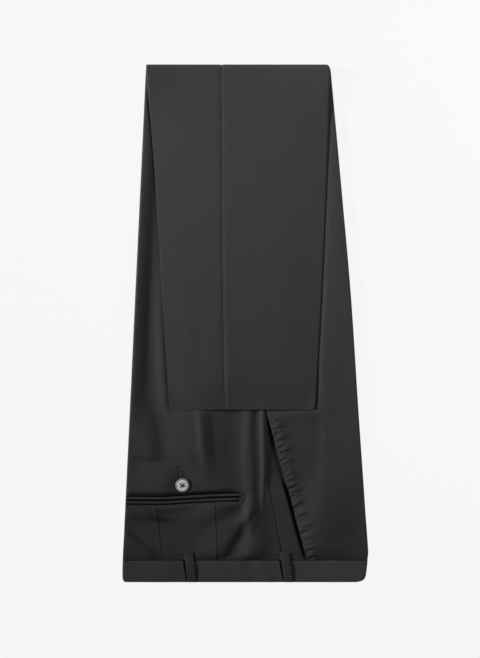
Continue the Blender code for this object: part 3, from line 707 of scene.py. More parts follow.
def edge_dip(rim, side):
    """The cloth turns down into the outseam, further on the folded-over legs, and into the waist seam."""
    def dip(x, y, turn):
        away = side * (x - rim[:, None])
        groove = mix(0.00018, 0.0004, turn) * np.exp(-((away / 0.0025) ** 2))
        at_waist = rounding(np.maximum(y - WAIST_SEAM_Y, 0), BAND_ROLL)
        return rounding(away, 0.00045) + groove + np.where(turn > 0, 0.0, at_waist)
    return dip


def back_flats(along):
    """The back panel's columns, from the outseam past the pocket's end and both darts to the crease."""
    y, turn = whereabouts(along)
    back, seam = edge("back", along), edge("seam", along)
    start = back + crease_radius(along) + 0.0002
    past_pocket = Dart(SLIT_END_X + 0.0006, -0.192, SLIT_END_X + 0.0006)
    guides = []
    for line in (past_pocket, *DARTS[::-1]):
        top = line.y_pocket + 0.012
        top_back, top_seam = column(UNDER_RUN, "back", top), column(UNDER_RUN, "seam", top)
        at_top = (dart_x(line, top) - top_back) / (top_seam - top_back)
        guides.append(np.where((turn == 0) & (y < top), dart_x(line, y), mix(back, seam, at_top)))
    rim = seam - SEAM_GAP / 2
    lines = [rim - step for step in SEAM_STEPS]
    steps = [-step for step in DART_STEPS]
    lines += steps_between(rim - 0.0045, guides[0], (0.0,), steps, 26)
    lines += steps_between(guides[0], guides[1], steps, steps, 9)[1:]
    lines += steps_between(guides[1], guides[2], steps, steps, 24)[1:]
    lines += steps_between(guides[2], start, steps, (0.0,), 14)[1:]
    return lines, rim


def front_flats(along):
    """The front panel's columns, from the outseam or pocket mouth to the crease."""
    y, turn = whereabouts(along)
    rim = np.where(turn == 0, mouth_x(y), edge("seam", along)) + SEAM_GAP / 2
    end = edge("front", along) - crease_radius(along) - 0.0002
    near = (*SEAM_STEPS, 0.0040, 0.0048, 0.0055, 0.0062, 0.0070, 0.0082)
    return steps_between(rim, end, near, (0.0,), 32), rim


class TrouserSettings(bpy.types.PropertyGroup):
    """Sizes and colours that a user would change."""

    cloth_thickness: bpy.props.FloatProperty(
        name="Cloth", description="Thickness of a cloth wall", default=CLOTH, min=0.0004, max=0.0015,
        unit="LENGTH", precision=4)
    cloth_colour: bpy.props.FloatVectorProperty(
        name="Cloth colour", description="Colour of the suiting", default=(0.0235, 0.0232, 0.0238),
        subtype="COLOR", min=0, max=1)
    yarn_colour: bpy.props.FloatVectorProperty(
        name="Light yarn", description="Colour of the lighter fibres in the yarn",
        default=(0.040, 0.0395, 0.040), subtype="COLOR", min=0, max=1)
    button_colour: bpy.props.FloatVectorProperty(
        name="Button colour", description="Colour of the pocket button", default=(0.98, 0.98, 0.96),
        subtype="COLOR", min=0, max=1)
    button_diameter: bpy.props.FloatProperty(
        name="Button", description="Diameter of the pocket button", default=0.0166, min=0.01, max=0.02,
        unit="LENGTH", precision=4)
    twill_pitch: bpy.props.FloatProperty(
        name="Twill pitch", description="Distance between the twill's diagonal ribs", default=0.0007,
        min=0.0003, max=0.002, unit="LENGTH", precision=4)
    floor_colour: bpy.props.FloatVectorProperty(
        name="Floor colour", description="Colour of the studio floor", default=(0.90, 0.90, 0.90),
        subtype="COLOR", min=0, max=1)


# ---- Materials --------------------------------------------------------------------------------------


def maths(operation, reflected=False):
    """A method that joins two values by a Math node, the other one first where it is reflected."""
    def join(self, other):
        pair = (other, self) if reflected else (self, other)
        return self.finish.add("ShaderNodeMath", {"operation": operation}, dict(enumerate(pair)))
    return join


class Maths:
    """A socket's value, so that shader maths can be written as an expression."""

    def __init__(self, finish, socket):
        self.finish, self.socket = finish, socket

    __add__, __radd__ = maths("ADD"), maths("ADD", reflected=True)
    __sub__, __rsub__ = maths("SUBTRACT"), maths("SUBTRACT", reflected=True)
    __mul__, __rmul__ = maths("MULTIPLY"), maths("MULTIPLY", reflected=True)


class Finish:
    """A material with a Principled shader, and one method that adds any other node."""

    def __init__(self, name):
        self.material = bpy.data.materials.new(name)
        self.material.use_nodes = True
        self.tree = self.material.node_tree

    def plug(self, node, sockets):
        for name, value in dict(sockets).items():
            if isinstance(value, Maths):
                self.tree.links.new(value.socket, node.inputs[name])
            else:
                node.inputs[name].default_value = value

    def add(self, kind, settings=(), sockets=(), output=0):
        node = self.tree.nodes.new(kind)
        for name, value in dict(settings).items():
            setattr(node, name, value)
        self.plug(node, sockets)
        return Maths(self, node.outputs[output])

    def noise(self, place, scale, detail, distortion=0.0):
        return self.add("ShaderNodeTexNoise", {}, {"Vector": place, "Scale": scale, "Detail": detail,
                                                   "Distortion": distortion})

    def mix_colours(self, factor, *pair):
        first, second = (colour if isinstance(colour, Maths) else (*colour, 1.0) for colour in pair)
        return self.add("ShaderNodeMix", {"data_type": "RGBA"}, {0: factor, 6: first, 7: second}, output=2)

    def surface(self, sockets):
        self.plug(self.tree.nodes["Principled BSDF"], sockets)
        return self.material


def shaded(colour, share):
    return [share * channel for channel in colour]


def suiting_finish(settings, name, shade, roughness, sheen):
    """Charcoal worsted: a fine twill along the grain, with mixed dark and light fibres."""
    finish = Finish(name)
    grain = finish.add("ShaderNodeUVMap", {"uv_map": "cloth_grain"})
    across, along = (finish.add("ShaderNodeSeparateXYZ", {}, {"Vector": grain}, output) for output in (0, 1))
    turns = 2 * math.pi / settings.twill_pitch
    ribs = finish.add("ShaderNodeMath", {"operation": "SINE"}, {0: (across * 0.8 + along) * turns})
    warps = finish.add("ShaderNodeMath", {"operation": "SINE"}, {0: across * (turns * 1.9)})
    stretched = finish.add("ShaderNodeMapping", {}, {"Vector": grain, "Scale": (260.0, 1500.0, 1.0)})
    slubs = finish.noise(stretched, 1.0, 3.0)
    fibres = finish.noise(grain, 2600.0, 2.0)
    bolt = finish.noise(grain, 28.0, 3.0)
    light = (fibres - 0.5) * 0.9 + (slubs - 0.5) * 1.0 + ribs * 0.10 + (bolt - 0.5) * 0.35 + 0.42
    factor = finish.add("ShaderNodeClamp", {}, {"Value": light})
    weave = ribs * 0.5 + warps * 0.18 + (fibres - 0.5) * 0.6
    return finish.surface({
        "Base Color": finish.mix_colours(factor, shaded(settings.cloth_colour, shade),
                                         shaded(settings.yarn_colour, shade)),
        "Roughness": (bolt - 0.5) * 0.10 + (fibres - 0.5) * 0.10 + roughness,
        "Normal": finish.add("ShaderNodeBump", {}, {"Strength": 0.30, "Distance": 0.00012, "Height": weave}),
        "Sheen Weight": sheen,
        "Sheen Roughness": 0.45,
        "Sheen Tint": (0.75, 0.75, 0.78, 1.0),
        "Specular IOR Level": 0.35,
    })


def thread_finish(name, colour, roughness, specular):
    """Twisted thread, a little lighter and darker along its strands. The near-black tubes of painted shade
    are made of it too.
    """
    finish = Finish(name)
    twist = finish.noise(finish.add("ShaderNodeTexCoord", output=3), 3200.0, 2.0)
    return finish.surface({
        "Base Color": finish.mix_colours(twist, shaded(colour, 0.7), shaded(colour, 1.25)),
        "Roughness": roughness,
        "Normal": finish.add("ShaderNodeBump", {}, {"Strength": 0.4, "Distance": 0.00008, "Height": twist}),
        "Sheen Weight": 0.1 * specular,
        "Specular IOR Level": specular,
    })


def pearl_finish(settings):
    """Mother of pearl: bright in the dish, greyer on the rim, with faint bands."""
    finish = Finish("turned_pearl")
    spot = finish.add("ShaderNodeTexCoord", output=3)
    stretched = finish.add("ShaderNodeMapping", {}, {"Vector": spot, "Scale": (90.0, 260.0, 120.0)})
    bands = finish.noise(stretched, 1.0, 4.0, distortion=1.2)
    centred = finish.add("ShaderNodeMapping", {}, {"Vector": spot, "Location": (-BUTTON_X, -BUTTON_Y, 0.0),
                                                   "Scale": (1.0, 1.0, 0.0)})
    from_centre = finish.add("ShaderNodeVectorMath", {"operation": "LENGTH"}, {0: centred}, output=1)
    radius = settings.button_diameter / 2
    rim = finish.add("ShaderNodeMapRange", {"interpolation_type": "SMOOTHSTEP"},
                     {"Value": from_centre, "From Min": 0.74 * radius, "From Max": 0.84 * radius})
    colour = settings.button_colour
    pearl = finish.mix_colours(bands, shaded(colour, 0.94), colour)
    return finish.surface({
        "Base Color": finish.mix_colours(rim, pearl, shaded(colour, 0.36)),
        "Roughness": (bands - 0.5) * 0.12 + 0.24,
        "Coat Weight": 0.35,
        "Coat Roughness": 0.12,
    })


def floor_finish(settings):
    """A pale floor that glows a little, so that shadows on it stay faint."""
    finish = Finish("studio_floor")
    mottle = finish.noise(finish.add("ShaderNodeTexCoord", output=3), 3.0, 2.0)
    colour = settings.floor_colour
    return finish.surface({
        "Base Color": finish.mix_colours(mottle, shaded(colour, 0.05), shaded(colour, 0.0515)),
        "Roughness": 0.95,
        "Specular IOR Level": 0.0,
        "Emission Color": (*colour, 1.0),
        "Emission Strength": 1.0,
    })


Cloth = namedtuple("Cloth", "shade roughness sheen")
CLOTHS = {  # one worsted, by how light and how matt it looks in each place
    "charcoal_twill": Cloth(1.3, 0.78, 0.0),
    "charcoal_twill_inside": Cloth(0.8, 0.7, 0.02),
    # painted light: the waistband's cloth is the panels' cloth made about 1.65 times lighter
    "suiting_across_the_grain": Cloth(2.15, 0.62, 0.03),
    # painted light: the welts' cloth is the panels' cloth made lighter
    "welt_suiting": Cloth(1.55, 0.62, 0.03),
    # painted light: the belt loops' cloth is the panels' cloth made lighter
    "belt_loop_suiting": Cloth(1.55, 0.62, 0.03),
}
Thread = namedtuple("Thread", "colour roughness specular")
THREADS = {
    "dark_thread": Thread((0.010, 0.010, 0.011), 0.6, 0.5),
    # painted shade: near-black tubes laid in the ditches, in the back pocket's mouth and in the waist seam
    "painted_shade_thread": Thread((0.002, 0.002, 0.002), 0.9, 0.08),
    "stitch_thread": Thread((0.022, 0.022, 0.023), 0.6, 0.5),
}


def cloth(name):
    """One of the cloths, made when it is first used."""
    return bpy.data.materials.get(name) or suiting_finish(bpy.context.scene.trousers, name, *CLOTHS[name])


def thread(name):
    """One of the threads, made when it is first used."""
    return bpy.data.materials.get(name) or thread_finish(name, *THREADS[name])


# ---- The other cloth pieces ---------------------------------------------------------------------------


def waistband(leg):
    """One half of the waistband, hooked round both creases, with a soft folded top edge."""
    seam_y = WAIST_SEAM_Y - SEAM_GAP / 2
    near_seam = seam_y - np.array([0.0, 0.0001, 0.0003, 0.0006, 0.0010, 0.0016])
    near_edge = WAIST_EDGE_Y + np.array([0.0, 0.00008, 0.00025, 0.0005, 0.00078, 0.0011, 0.0016, 0.0026])
    rows = np.unique(np.concatenate([near_seam, near_edge, np.linspace(near_edge[-1], near_seam[-1], 14)]))
    y = rows[:, None]
    radius = crease_radius(np.minimum(rows, seam_y))[:, None]
    back, front = back_and_front(BAND_OUTLINE, y)
    turns = np.linspace(0, math.pi, ARC_STEPS + 1)[None, :]
    tuck = np.linspace(0, 1, 8)[None, :]
    to_edge = np.clip((WAIST_SEAM_Y - y) / (WAIST_SEAM_Y - WAIST_EDGE_Y), 0, 1)
    steps = (-0.0012, -0.0004, 0.0002, 0.0006, 0.0010, 0.0016, 0.0024)
    beside = np.array([side * (LOOP_WIDTH / 2 + step) for side in (-1, 1) for step in steps])[None, :]
    loop_lines = [mix(loop.x_foot, loop.x_top, to_edge) for loop in BELT_LOOPS]
    even = mix(back + radius, front - radius, np.linspace(0, 1, 70)[None, 1:-1])
    flat = np.sort(np.concatenate([even, *(line + beside for line in loop_lines)], axis=1), axis=1)
    seam_back, seam_front = back_and_front(UNDER_RUN, seam_y)
    back_end, front_end = (0 * y + float(end) for end in (seam_back + radius[0, 0] + BACK_TUCK,
                                                          seam_front - radius[0, 0] - FRONT_TUCK))

    def section(reach):
        """x and inward across the band, at this far from the middle of its creases."""
        x = (mix(back_end, back + radius, tuck[:, :-1]), back + radius - reach * np.sin(turns[:, ::-1]), flat,
             front - radius + reach * np.sin(turns), mix(front - radius, front_end, tuck[:, 1:]))
        deep = 0 * tuck[:, 1:] + radius + reach
        inward = (deep, radius - reach * np.cos(turns[:, ::-1]), radius - reach + 0 * flat,
                  radius - reach * np.cos(turns), deep)
        return np.concatenate(x, axis=1), np.concatenate(inward, axis=1)

    outer_x, outer_in = section(radius)
    inner_x, inner_in = section(radius - BAND)
    ys = np.broadcast_to(y, outer_x.shape)
    lift = 0 * outer_x
    if leg == "left":
        lift = creases_at(BAND_CREASES, ys, outer_x) + unevenness(outer_x, ys)
        for line in loop_lines:
            aside = np.abs(outer_x - line) - LOOP_WIDTH / 2
            lift = lift - 0.0013 * smoothstep((0.0016 - aside) / 0.0022)
    facing_up = (outer_in < 1e-6) & (inner_in > outer_in)
    off_creases = smoothstep((outer_x - back - 0.004) / 0.01) * smoothstep((front - 0.004 - outer_x) / 0.01)
    lift = np.where(facing_up, lift * off_creases, 0)
    side = np.where(outer_in < inner_in, 1.0, -1.0)
    edge_roll, seam_roll = rounding(ys - WAIST_EDGE_Y, BAND / 2), rounding(seam_y - ys, BAND_ROLL)
    # The band takes the lighter copy of the cloth, which is painted light.
    piece = shell(f"{leg}_waistband_cloth",
                  locate(ys, outer_x, leg, outer_in - lift + side * (edge_roll + seam_roll)),
                  locate(ys, inner_x, leg, inner_in - lift - side * edge_roll),
                  np.stack([outer_x, ys], axis=-1), cloth("suiting_across_the_grain"))
    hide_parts(f"{leg}_waistband")
    loops = [belt_loop(leg, loop) for loop in BELT_LOOPS]


def facing_inward(x, y):
    """How deep the pocket facing lies: just under the back panel, rising a little beside it, and sinking
    into the pocket along the open mouth."""
    seam, mouth = column(UNDER_RUN, "seam", y), mouth_x(y)
    along = np.clip((y - WAIST_SEAM_Y) / POCKET_LENGTH, 0, 1)
    width = np.maximum(mouth - seam, 0.001)
    t = np.clip((x - seam) / width, 0, 1)
    bulge = 0.0010 * np.sin(math.pi * t ** 0.8) * smoothstep((width - 0.023) / 0.008)
    narrow = 1 - smoothstep((width - 0.020) / 0.006)
    to_mouth = (0.0007 + 0.0021 * t) * narrow * smoothstep((x - seam + 0.001) / 0.003)
    gap = np.exp(-((np.maximum(mouth - 0.0014 - x, 0) / mix(0.0016, 0.0020, narrow)) ** 2))
    sink = FACING_SINK * np.sin(math.pi * along) ** 0.3
    return CLOTH + SEAM_GAP - bulge + mix(to_mouth, np.maximum(sink, to_mouth), gap)


def pocket_facing(leg):
    """The facing that shows in the mouth of the slanted side pocket."""
    ys = np.arange(WAIST_SEAM_Y + SEAM_GAP / 2, POCKET_FOOT_Y + 0.010, 0.0020)
    seam, mouth = column(UNDER_RUN, "seam", ys[:, None]), mouth_x(ys[:, None])
    columns = [seam - 0.004 + 0.0008 * k for k in range(7)]
    columns += [mix(seam + 0.0010, mouth - 0.0012, k / 16) for k in range(1, 16)]
    columns += [mouth + 0.0008 * k for k in range(-1, 9)]
    columns += [mouth + step for step in (0.0095, 0.0125, 0.015)]
    x = np.sort(np.concatenate(columns, axis=1), axis=1)
    y = np.broadcast_to(ys[:, None], x.shape)
    inward = facing_inward(x, y) if leg == "left" else np.full_like(x, CLOTH + SEAM_GAP)
    piece = shell(f"{leg}_pocket_facing_cloth", locate(y, x, leg, inward),
                  locate(y, x, leg, inward + FACING_THICKNESS), np.stack([x, y], axis=-1),
                  cloth("charcoal_twill"))
    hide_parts(f"{leg}_pocket_facing")


def tube(path, radius, sides=8, closed=False, flatten=1.0, pulse=0.0, pitch=0.0005):
    """Vertices, faces and grain of a thread along a path, whipped with stitches where pulse isn't 0."""
    path = np.asarray(path, float)
    ahead, behind = np.roll(path, -1, axis=0), np.roll(path, 1, axis=0)
    if not closed:
        ahead[-1], behind[0] = path[-1], path[0]
    run = ahead - behind
    run = run / np.linalg.norm(run, axis=1)[:, None]
    side = np.cross(run, (0, 0, 1))
    side = side / np.linalg.norm(side, axis=1)[:, None]
    up = np.cross(side, run)
    lengths = np.concatenate([[0], np.cumsum(np.linalg.norm(np.diff(path, axis=0), axis=1))])
    size = radius * (1 + pulse * np.cos(2 * math.pi * lengths / pitch)) * np.ones(len(path))
    if not closed:
        end = np.minimum(lengths, lengths[-1] - lengths) / radius
        size = size * np.sqrt(np.clip(1 - (1 - np.clip(end, 0, 1)) ** 2, 0.02, 1))
    angle = 2 * math.pi * np.arange(sides) / sides
    rings = (path[:, None] + side[:, None] * (size[:, None] * np.cos(angle))[..., None]
             + up[:, None] * (size[:, None] * np.sin(angle) * flatten)[..., None])
    grain = np.stack([np.repeat(lengths, sides), np.tile(angle * radius, len(path))], axis=-1)
    return rings.reshape(-1, 3), ring_faces(len(path), sides, closed), grain


def thread_object(name, parts, finish):
    """One piece of several threads."""
    verts, grain = (np.concatenate([part[k] for part in parts]) for k in (0, 2))
    faces, start = [], 0
    for part in parts:
        faces += [tuple(start + k for k in face) for face in part[1]]
        start += len(part[0])
    return object_from(name, verts, faces, thread(finish), grain)


def pick_stitches(leg):
    """The small stitches along the pocket's mouth, each a bead of thread sunk into the cloth. Those of the
    lower leg are pressed in by the floor."""
    pressed_in = 0.0 if leg == "left" else 0.00036
    lean = (POCKET_TOP_X - float(column(UNDER_RUN, "seam", POCKET_FOOT_Y))) / POCKET_LENGTH
    reach = np.linspace(-PICK_HALF, PICK_HALF, 5)
    out = 0.00012 - pressed_in - 0.00018 * (reach / PICK_HALF) ** 2
    parts = []
    for y in np.arange(WAIST_SEAM_Y + PICK_SPACING / 2, POCKET_FOOT_Y - 0.004, PICK_SPACING):
        points = leg_face(leg, mouth_x(y) + PICK_INSET - lean * reach, y + reach, out)
        parts.append(tube(points, PICK_RADIUS, sides=6))
    thread_object(f"{leg}_pocket_pick_stitches", parts, "dark_thread")


def welt(name, side):
    """A welt of the back pocket: a rounded fold of cloth in the pocket's channel. It starts just round the
    back crease and ends towards the outseam."""
    start, radius = slit_start()
    count, sides = 94, 20
    tilt = np.zeros(count)
    tilt[:4] = np.radians((34, 26, 17, 8))
    bent = tilt > 0
    xs = np.concatenate([[0.0] * 4, np.linspace(start, SLIT_END_X, count - 4)])
    middle = slit_y(np.where(bent, start, xs)) + side * (WELT_MOUTH + WELT_WIDTH) / 2
    half, thick = WELT_WIDTH / 2, WELT_THICKNESS / 2
    angle = 2 * math.pi * np.arange(sides) / sides
    across = half * np.sign(np.cos(angle)) * np.abs(np.cos(angle)) ** 0.75
    up = thick * np.sign(np.sin(angle)) * np.abs(np.sin(angle)) ** 0.8
    up = up + 0.00022 * (1 - side * across / half)  # the fold at the mouth stands higher than the seam
    from_end = np.clip((SLIT_END_X - xs) / 0.0016, 0, 1)
    rounded = np.sqrt(np.clip(1 - (1 - from_end) ** 2, 0.03, 1))
    ends = np.where(bent | (xs - start < 0.01), 1.0, rounded)
    wave = 1 + 0.08 * np.sin(95 * xs + side) + 0.05 * np.sin(210 * xs)
    y = middle[:, None] + across[None, :] * (wave * ends)[:, None]
    out = up[None, :] * ends[:, None] - CHANNEL_DEPTH + thick + 0.0001
    turned_x, sine, cosine = start - radius * np.sin(tilt), np.sin(tilt)[:, None], np.cos(tilt)[:, None]
    x = np.where(bent, turned_x, xs)[:, None] - sine * out
    inward = radius - radius * cosine - cosine * out
    points = locate(y, x, "left", inward - left_lift(np.maximum(x, start), y, 0.0 * x))
    # The welt takes the lighter copy of the cloth, which is painted light.
    piece = object_from(f"{name}_cloth", points.reshape(-1, 3), ring_faces(count, sides),
                        cloth("welt_suiting"), np.stack([x, y], axis=-1).reshape(-1, 2))
    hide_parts(name)


def pocket_ditches():
    """Near-black tubes beside the welts, round the end tack and in the pocket's mouth: painted shade in these
    ditches and in the slit.
    """
    x = np.linspace(slit_start()[0], SLIT_END_X - 0.0004, 150)
    ditch = WELT_MOUTH / 2 + WELT_WIDTH + 0.0007
    parts = []
    for aside, radius, deep in ((-ditch, DITCH_RADIUS, 0.0006), (0, MOUTH_SHADE_RADIUS, 0.0007),
                                (ditch, DITCH_RADIUS, 0.0006)):
        y = slit_y(x) + aside
        parts.append(tube(locate(y, x, "left", deep - left_lift(x, y, 0 * x)), radius, flatten=0.4))
    turn = np.linspace(-0.5, 0.5, 60) * math.pi
    x, y = SLIT_END_X + 0.0008 + 0.0056 * np.cos(turn), slit_y(SLIT_END_X) + 0.0062 * np.sin(turn)
    parts.append(tube(leg_face("left", x, y, out=-0.00005), TACK_DITCH_RADIUS, flatten=0.6))
    thread_object("back_pocket_sunk_stitching", parts, "painted_shade_thread")


def waist_ditch(leg):
    """A near-black tube between the waistband and the leg panels: painted shade in the waist seam."""
    back, front = back_and_front(UNDER_RUN, WAIST_SEAM_Y)
    clear = crease_radius(WAIST_SEAM_Y) + 0.001
    x = np.linspace(back + clear, front - clear, 260)
    line = tube(locate(WAIST_SEAM_Y + 0 * x, x, leg, WAIST_DIP + 0 * x), WAIST_DITCH_RADIUS, sides=6)
    thread_object(f"{leg}_waist_seam_painted_shade", [line], "painted_shade_thread")


def pocket_end_tack():
    """The half-moon of close stitches that holds the pocket's end, and the bar beside it."""
    middle = float(slit_y(SLIT_END_X))
    turn = np.linspace(-0.5, 0.5, 60) * math.pi
    x, y = SLIT_END_X + 0.0006 + 0.0046 * np.cos(turn), middle + 0.0050 * np.sin(turn)
    whipped = {"sides": 10, "pulse": 0.16, "pitch": 0.0006}
    moon = tube(leg_face("left", x, y, out=0.0002), TACK_RADIUS, flatten=0.6, **whipped)
    reach = np.linspace(-TACK_HALF, TACK_HALF, 40)
    bar = tube(leg_face("left", SLIT_END_X + 0.0003 + 0 * reach, middle + reach, out=-0.0001),
               TACK_BAR_RADIUS, flatten=0.8, **whipped)
    t = np.linspace(0.0, 1.0, 10)[:, None]
    x = SLIT_END_X + 0.0006 + 0.0042 * t * np.cos(turn)[None, ::4]
    y = middle + 0.0046 * np.sin(turn)[None, ::4] + 0 * t
    pad = closed_sheet(leg_face("left", x, y, out=0.00035 - 0.0002 * t**2),
                       leg_face("left", x, y, out=-0.0004), np.stack([x, y], axis=-1))
    thread_object("back_pocket_end_tack", [moon, bar, pad], "stitch_thread")


def buttonhole():
    """A worked buttonhole: a long ring of close stitches with a bar at its far end."""
    near_end, far_end = np.array(BUTTONHOLE)
    length = float(np.hypot(*(far_end - near_end)))
    run = (far_end - near_end) / length
    side = np.array([-run[1], run[0]])

    def whipped(forward, aside, out, radius, **shape):
        x, y = near_end[:, None] + run[:, None] * forward + side[:, None] * aside
        return tube(leg_face("left", x, y, out), radius, pulse=0.14, pitch=0.00055, **shape)

    half = 0.0025
    t, far = np.linspace(0, 1, 90), math.pi * np.linspace(0, 1, 18)[1:-1]
    straight, round_end = half + 0 * t, half * np.sin(far)
    forward = np.concatenate([t * length, length + round_end, (1 - t) * length, -round_end])
    aside = np.concatenate([straight, half * np.cos(far), -straight, -half * np.cos(far)])
    lips = whipped(forward, aside, 0.0001, LIP_RADIUS, closed=True, flatten=0.75)
    bar = whipped(-0.0018, np.linspace(-0.0016, 0.0016, 16), 0.0002, LIP_BAR_RADIUS, flatten=0.8)
    thread_object("back_pocket_buttonhole", [lips, bar], "dark_thread")


def belt_loop(leg, loop):
    """A belt loop: a crowned strip whose foot is turned under on the leg and whose top goes over the edge
    of the waistband."""
    foot_y = WAIST_SEAM_Y + LOOP_REACH
    length = foot_y - WAIST_EDGE_Y
    steps = np.concatenate([[0, 0.0002, 0.0006, 0.0012, 0.002], np.linspace(0.003, length - 0.0018, 22)])
    bow = 0.0 * steps
    if leg == "left":
        bow = 0.0009 * np.sin(math.pi * np.clip((steps / length - 0.16) / 0.80, 0, 1)) ** 1.2
    out = 0.00012 + bow
    over = np.linspace(0, 0.5 * math.pi, 7)[1:]
    path_y = np.concatenate([foot_y - steps, foot_y - steps[-1] - LOOP_TOP_RADIUS * np.sin(over)])[:, None]
    path_out = np.concatenate([out, out[-1] - LOOP_TOP_RADIUS * (1 - np.cos(over))])[:, None]
    half_shares = np.array([0.15, 0.45, 0.72, 0.86, 0.94, 0.985, 1.0])
    shares = np.concatenate([-half_shares[::-1], half_shares])[None, :]
    across = shares * LOOP_WIDTH / 2
    roll = rounding(LOOP_WIDTH / 2 - np.abs(across), LOOP_THICKNESS / 2)
    roll = np.maximum(roll, rounding(np.append(steps, [1.0] * len(over)), LOOP_THICKNESS / 2)[:, None])
    x = mix(loop.x_foot, loop.x_top, np.clip((foot_y - path_y) / length, 0, 1)) + across
    y = np.broadcast_to(path_y, x.shape)
    surface = 0 * x
    if leg == "left":
        surface = left_lift(x, np.maximum(y, WAIST_SEAM_Y + 0.004), surface)
        surface = surface * smoothstep((y - WAIST_SEAM_Y) / 0.006)
    top = path_out + LOOP_THICKNESS + 0.00028 * (1 - shares**2) - roll + surface
    low = np.maximum(path_out + roll + surface, -0.0006)
    # The loop takes the lighter copy of the cloth, which is painted light.
    piece = shell(f"{leg}_{loop.name}_belt_loop_cloth", locate(y, x, leg, -np.maximum(top, low + 0.0001)),
                  locate(y, x, leg, -low), np.stack([x, y], axis=-1), cloth("belt_loop_suiting"))
    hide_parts(f"{leg}_{loop.name}_belt_loop")
    return piece


Bag = namedtuple("Bag", "name x_back x_front y_end leg inward slope")
HIDDEN_SHEETS = (
    Bag("left_pocket_bag", -0.098, 0.010, -0.135, "left", 0.0031, 0.0),
    Bag("fly_and_seat_seam", -0.096, 0.092, -0.120, "left", 0.0042, 0.0010),
    Bag("right_pocket_bag", -0.098, 0.010, -0.140, "right", 0.0028, 0.0),
)


def hidden_sheet(bag):
    """A pocket bag, or the fly and the turned-in seat seam, between the legs' inner halves."""
    ys = np.arange(WAIST_EDGE_Y + 0.004, bag.y_end, 0.004)
    x, y = np.meshgrid(np.linspace(bag.x_back, bag.x_front, 48), ys)
    ripple = 0.00022 * np.sin(190 * x + 1.1) + 0.00016 * np.sin(87 * x + 31 * y)
    inward = bag.inward + ripple + bag.slope * smoothstep((x - 0.002) / 0.020)
    piece = shell(bag.name, locate(y, x, bag.leg, inward), locate(y, x, bag.leg, inward + HIDDEN_WALL),
                  np.stack([x, y], axis=-1), cloth("charcoal_twill_inside"))
    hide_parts("inner_layers")


# ---- Operators --------------------------------------------------------------------------------------


class TROUSERS_OT_leg_panels(bpy.types.Operator):
    """Make the front and back panels of both legs"""

    bl_idname = "trousers.leg_panels"
    bl_label = "Leg panels"

    def execute(self, context):
        settings = context.scene.trousers
        finish = cloth("charcoal_twill")
        beside_channel = [SLIT_MEAN_Y + side * (CHANNEL_HALF + step) for side in (-1, 1)
                          for step in (-0.0006, -0.0002, 0.0002, 0.0006, 0.0012)]
        for leg in ("left", "right"):
            upper = leg == "left"
            along = path_rows(0.0020 if upper else 0.0035, 0.0034, (beside_channel,) if upper else ())
            flats, rim = back_flats(along)
            to_edges = edge_dip(rim, -1)

            def to_edges_and_lines(x, y, turn, to_edges=to_edges):
                lines = dart_grooves(x, y) + pocket_channel(x, y)
                return to_edges(x, y, turn) + np.where(turn > 0, 0.0, 1.0) * lines

            leg_panel(leg, -1, along, flats, left_lift if upper else right_lift,
                      to_edges_and_lines if upper else to_edges, settings, finish)
            if upper:
                along = path_rows(0.0008, 0.0034)
            flats, rim = front_flats(along)
            leg_panel(leg, 1, along, flats, left_front_lift if upper else right_lift, edge_dip(rim, 1),
                      settings, finish)
        return {"FINISHED"}


class TROUSERS_OT_waistbands(bpy.types.Operator):
    """Make both halves of the waistband with their belt loops"""

    bl_idname = "trousers.waistbands"
    bl_label = "Waistband and belt loops"

    def execute(self, context):
        for leg in ("left", "right"):
            waistband(leg)
            waist_ditch(leg)
        return {"FINISHED"}


class TROUSERS_OT_side_pockets(bpy.types.Operator):
    """Make the facings and pick stitches of the slanted side pockets"""

    bl_idname = "trousers.side_pockets"
    bl_label = "Side pockets"

    def execute(self, context):
        for leg in ("left", "right"):
            pocket_facing(leg)
            pick_stitches(leg)
        return {"FINISHED"}


class TROUSERS_OT_back_pocket(bpy.types.Operator):
    """Make the back pocket's welts, its end tack and its buttonhole"""

    bl_idname = "trousers.back_pocket"
    bl_label = "Back pocket"

    def execute(self, context):
        welt("back_pocket_upper_welt", 1)
        welt("back_pocket_lower_welt", -1)
        pocket_ditches()
        pocket_end_tack()
        buttonhole()
        return {"FINISHED"}


class TROUSERS_OT_pocket_bags(bpy.types.Operator):
    """Make the hidden pocket bags and the fly between the legs"""

    bl_idname = "trousers.pocket_bags"
    bl_label = "Pocket bags and fly"

    def execute(self, context):
        for bag in HIDDEN_SHEETS:
            hidden_sheet(bag)
        return {"FINISHED"}


HOLE_REACH, HOLE_RADIUS, HOLES_TURN = 0.0026, 0.00095, 4
BUTTON_FOOT, BUTTON_HEIGHT = 0.0006, 0.00215
Turned = namedtuple("Turned", "rise grow")
BUTTON_SECTION = (  # the turned half-section, from the foot to the dish in the middle
    Turned(0.0005, 1.11), Turned(0.0006, 1.004), Turned(0.00045, 0.968), Turned(0.0002, 0.955),
    Turned(-0.00005, 0.94), Turned(-0.00040, 0.870), Turned(0.0, 0.972), Turned(0.00030, 0.975),
    Turned(0.00008, 0.965), Turned(-0.00005, 0.86), Turned(-0.00022, 0.72), Turned(-0.00005, 0.75),
)


def button_thread(stand):
    """Two strands through each pair of holes, crossed."""
    parts = []
    t = np.linspace(-1, 1, 21)
    reach = 0.0029 * t
    into_hole = 0.0018 * smoothstep((np.abs(t) - 0.72) / 0.28)
    for turn, lean, over in ((45, 3, 0.0), (135, -4, 0.0004)):
        angle = math.radians(turn + HOLES_TURN + lean)
        for strand in (-0.00028, 0.00028):
            aside = strand * (1 - 0.4 * t**2)
            height = stand + BUTTON_HEIGHT + 0.00060 - 0.00035 * t**2 - into_hole + over * (1 - t**2) ** 2
            x = BUTTON_X + reach * math.cos(angle) - aside * math.sin(angle)
            y = BUTTON_Y + reach * math.sin(angle) + aside * math.cos(angle)
            parts.append(tube(np.stack([x, y, height], axis=1), BUTTON_THREAD_RADIUS))
    thread_object("back_pocket_button_thread", parts, "dark_thread")


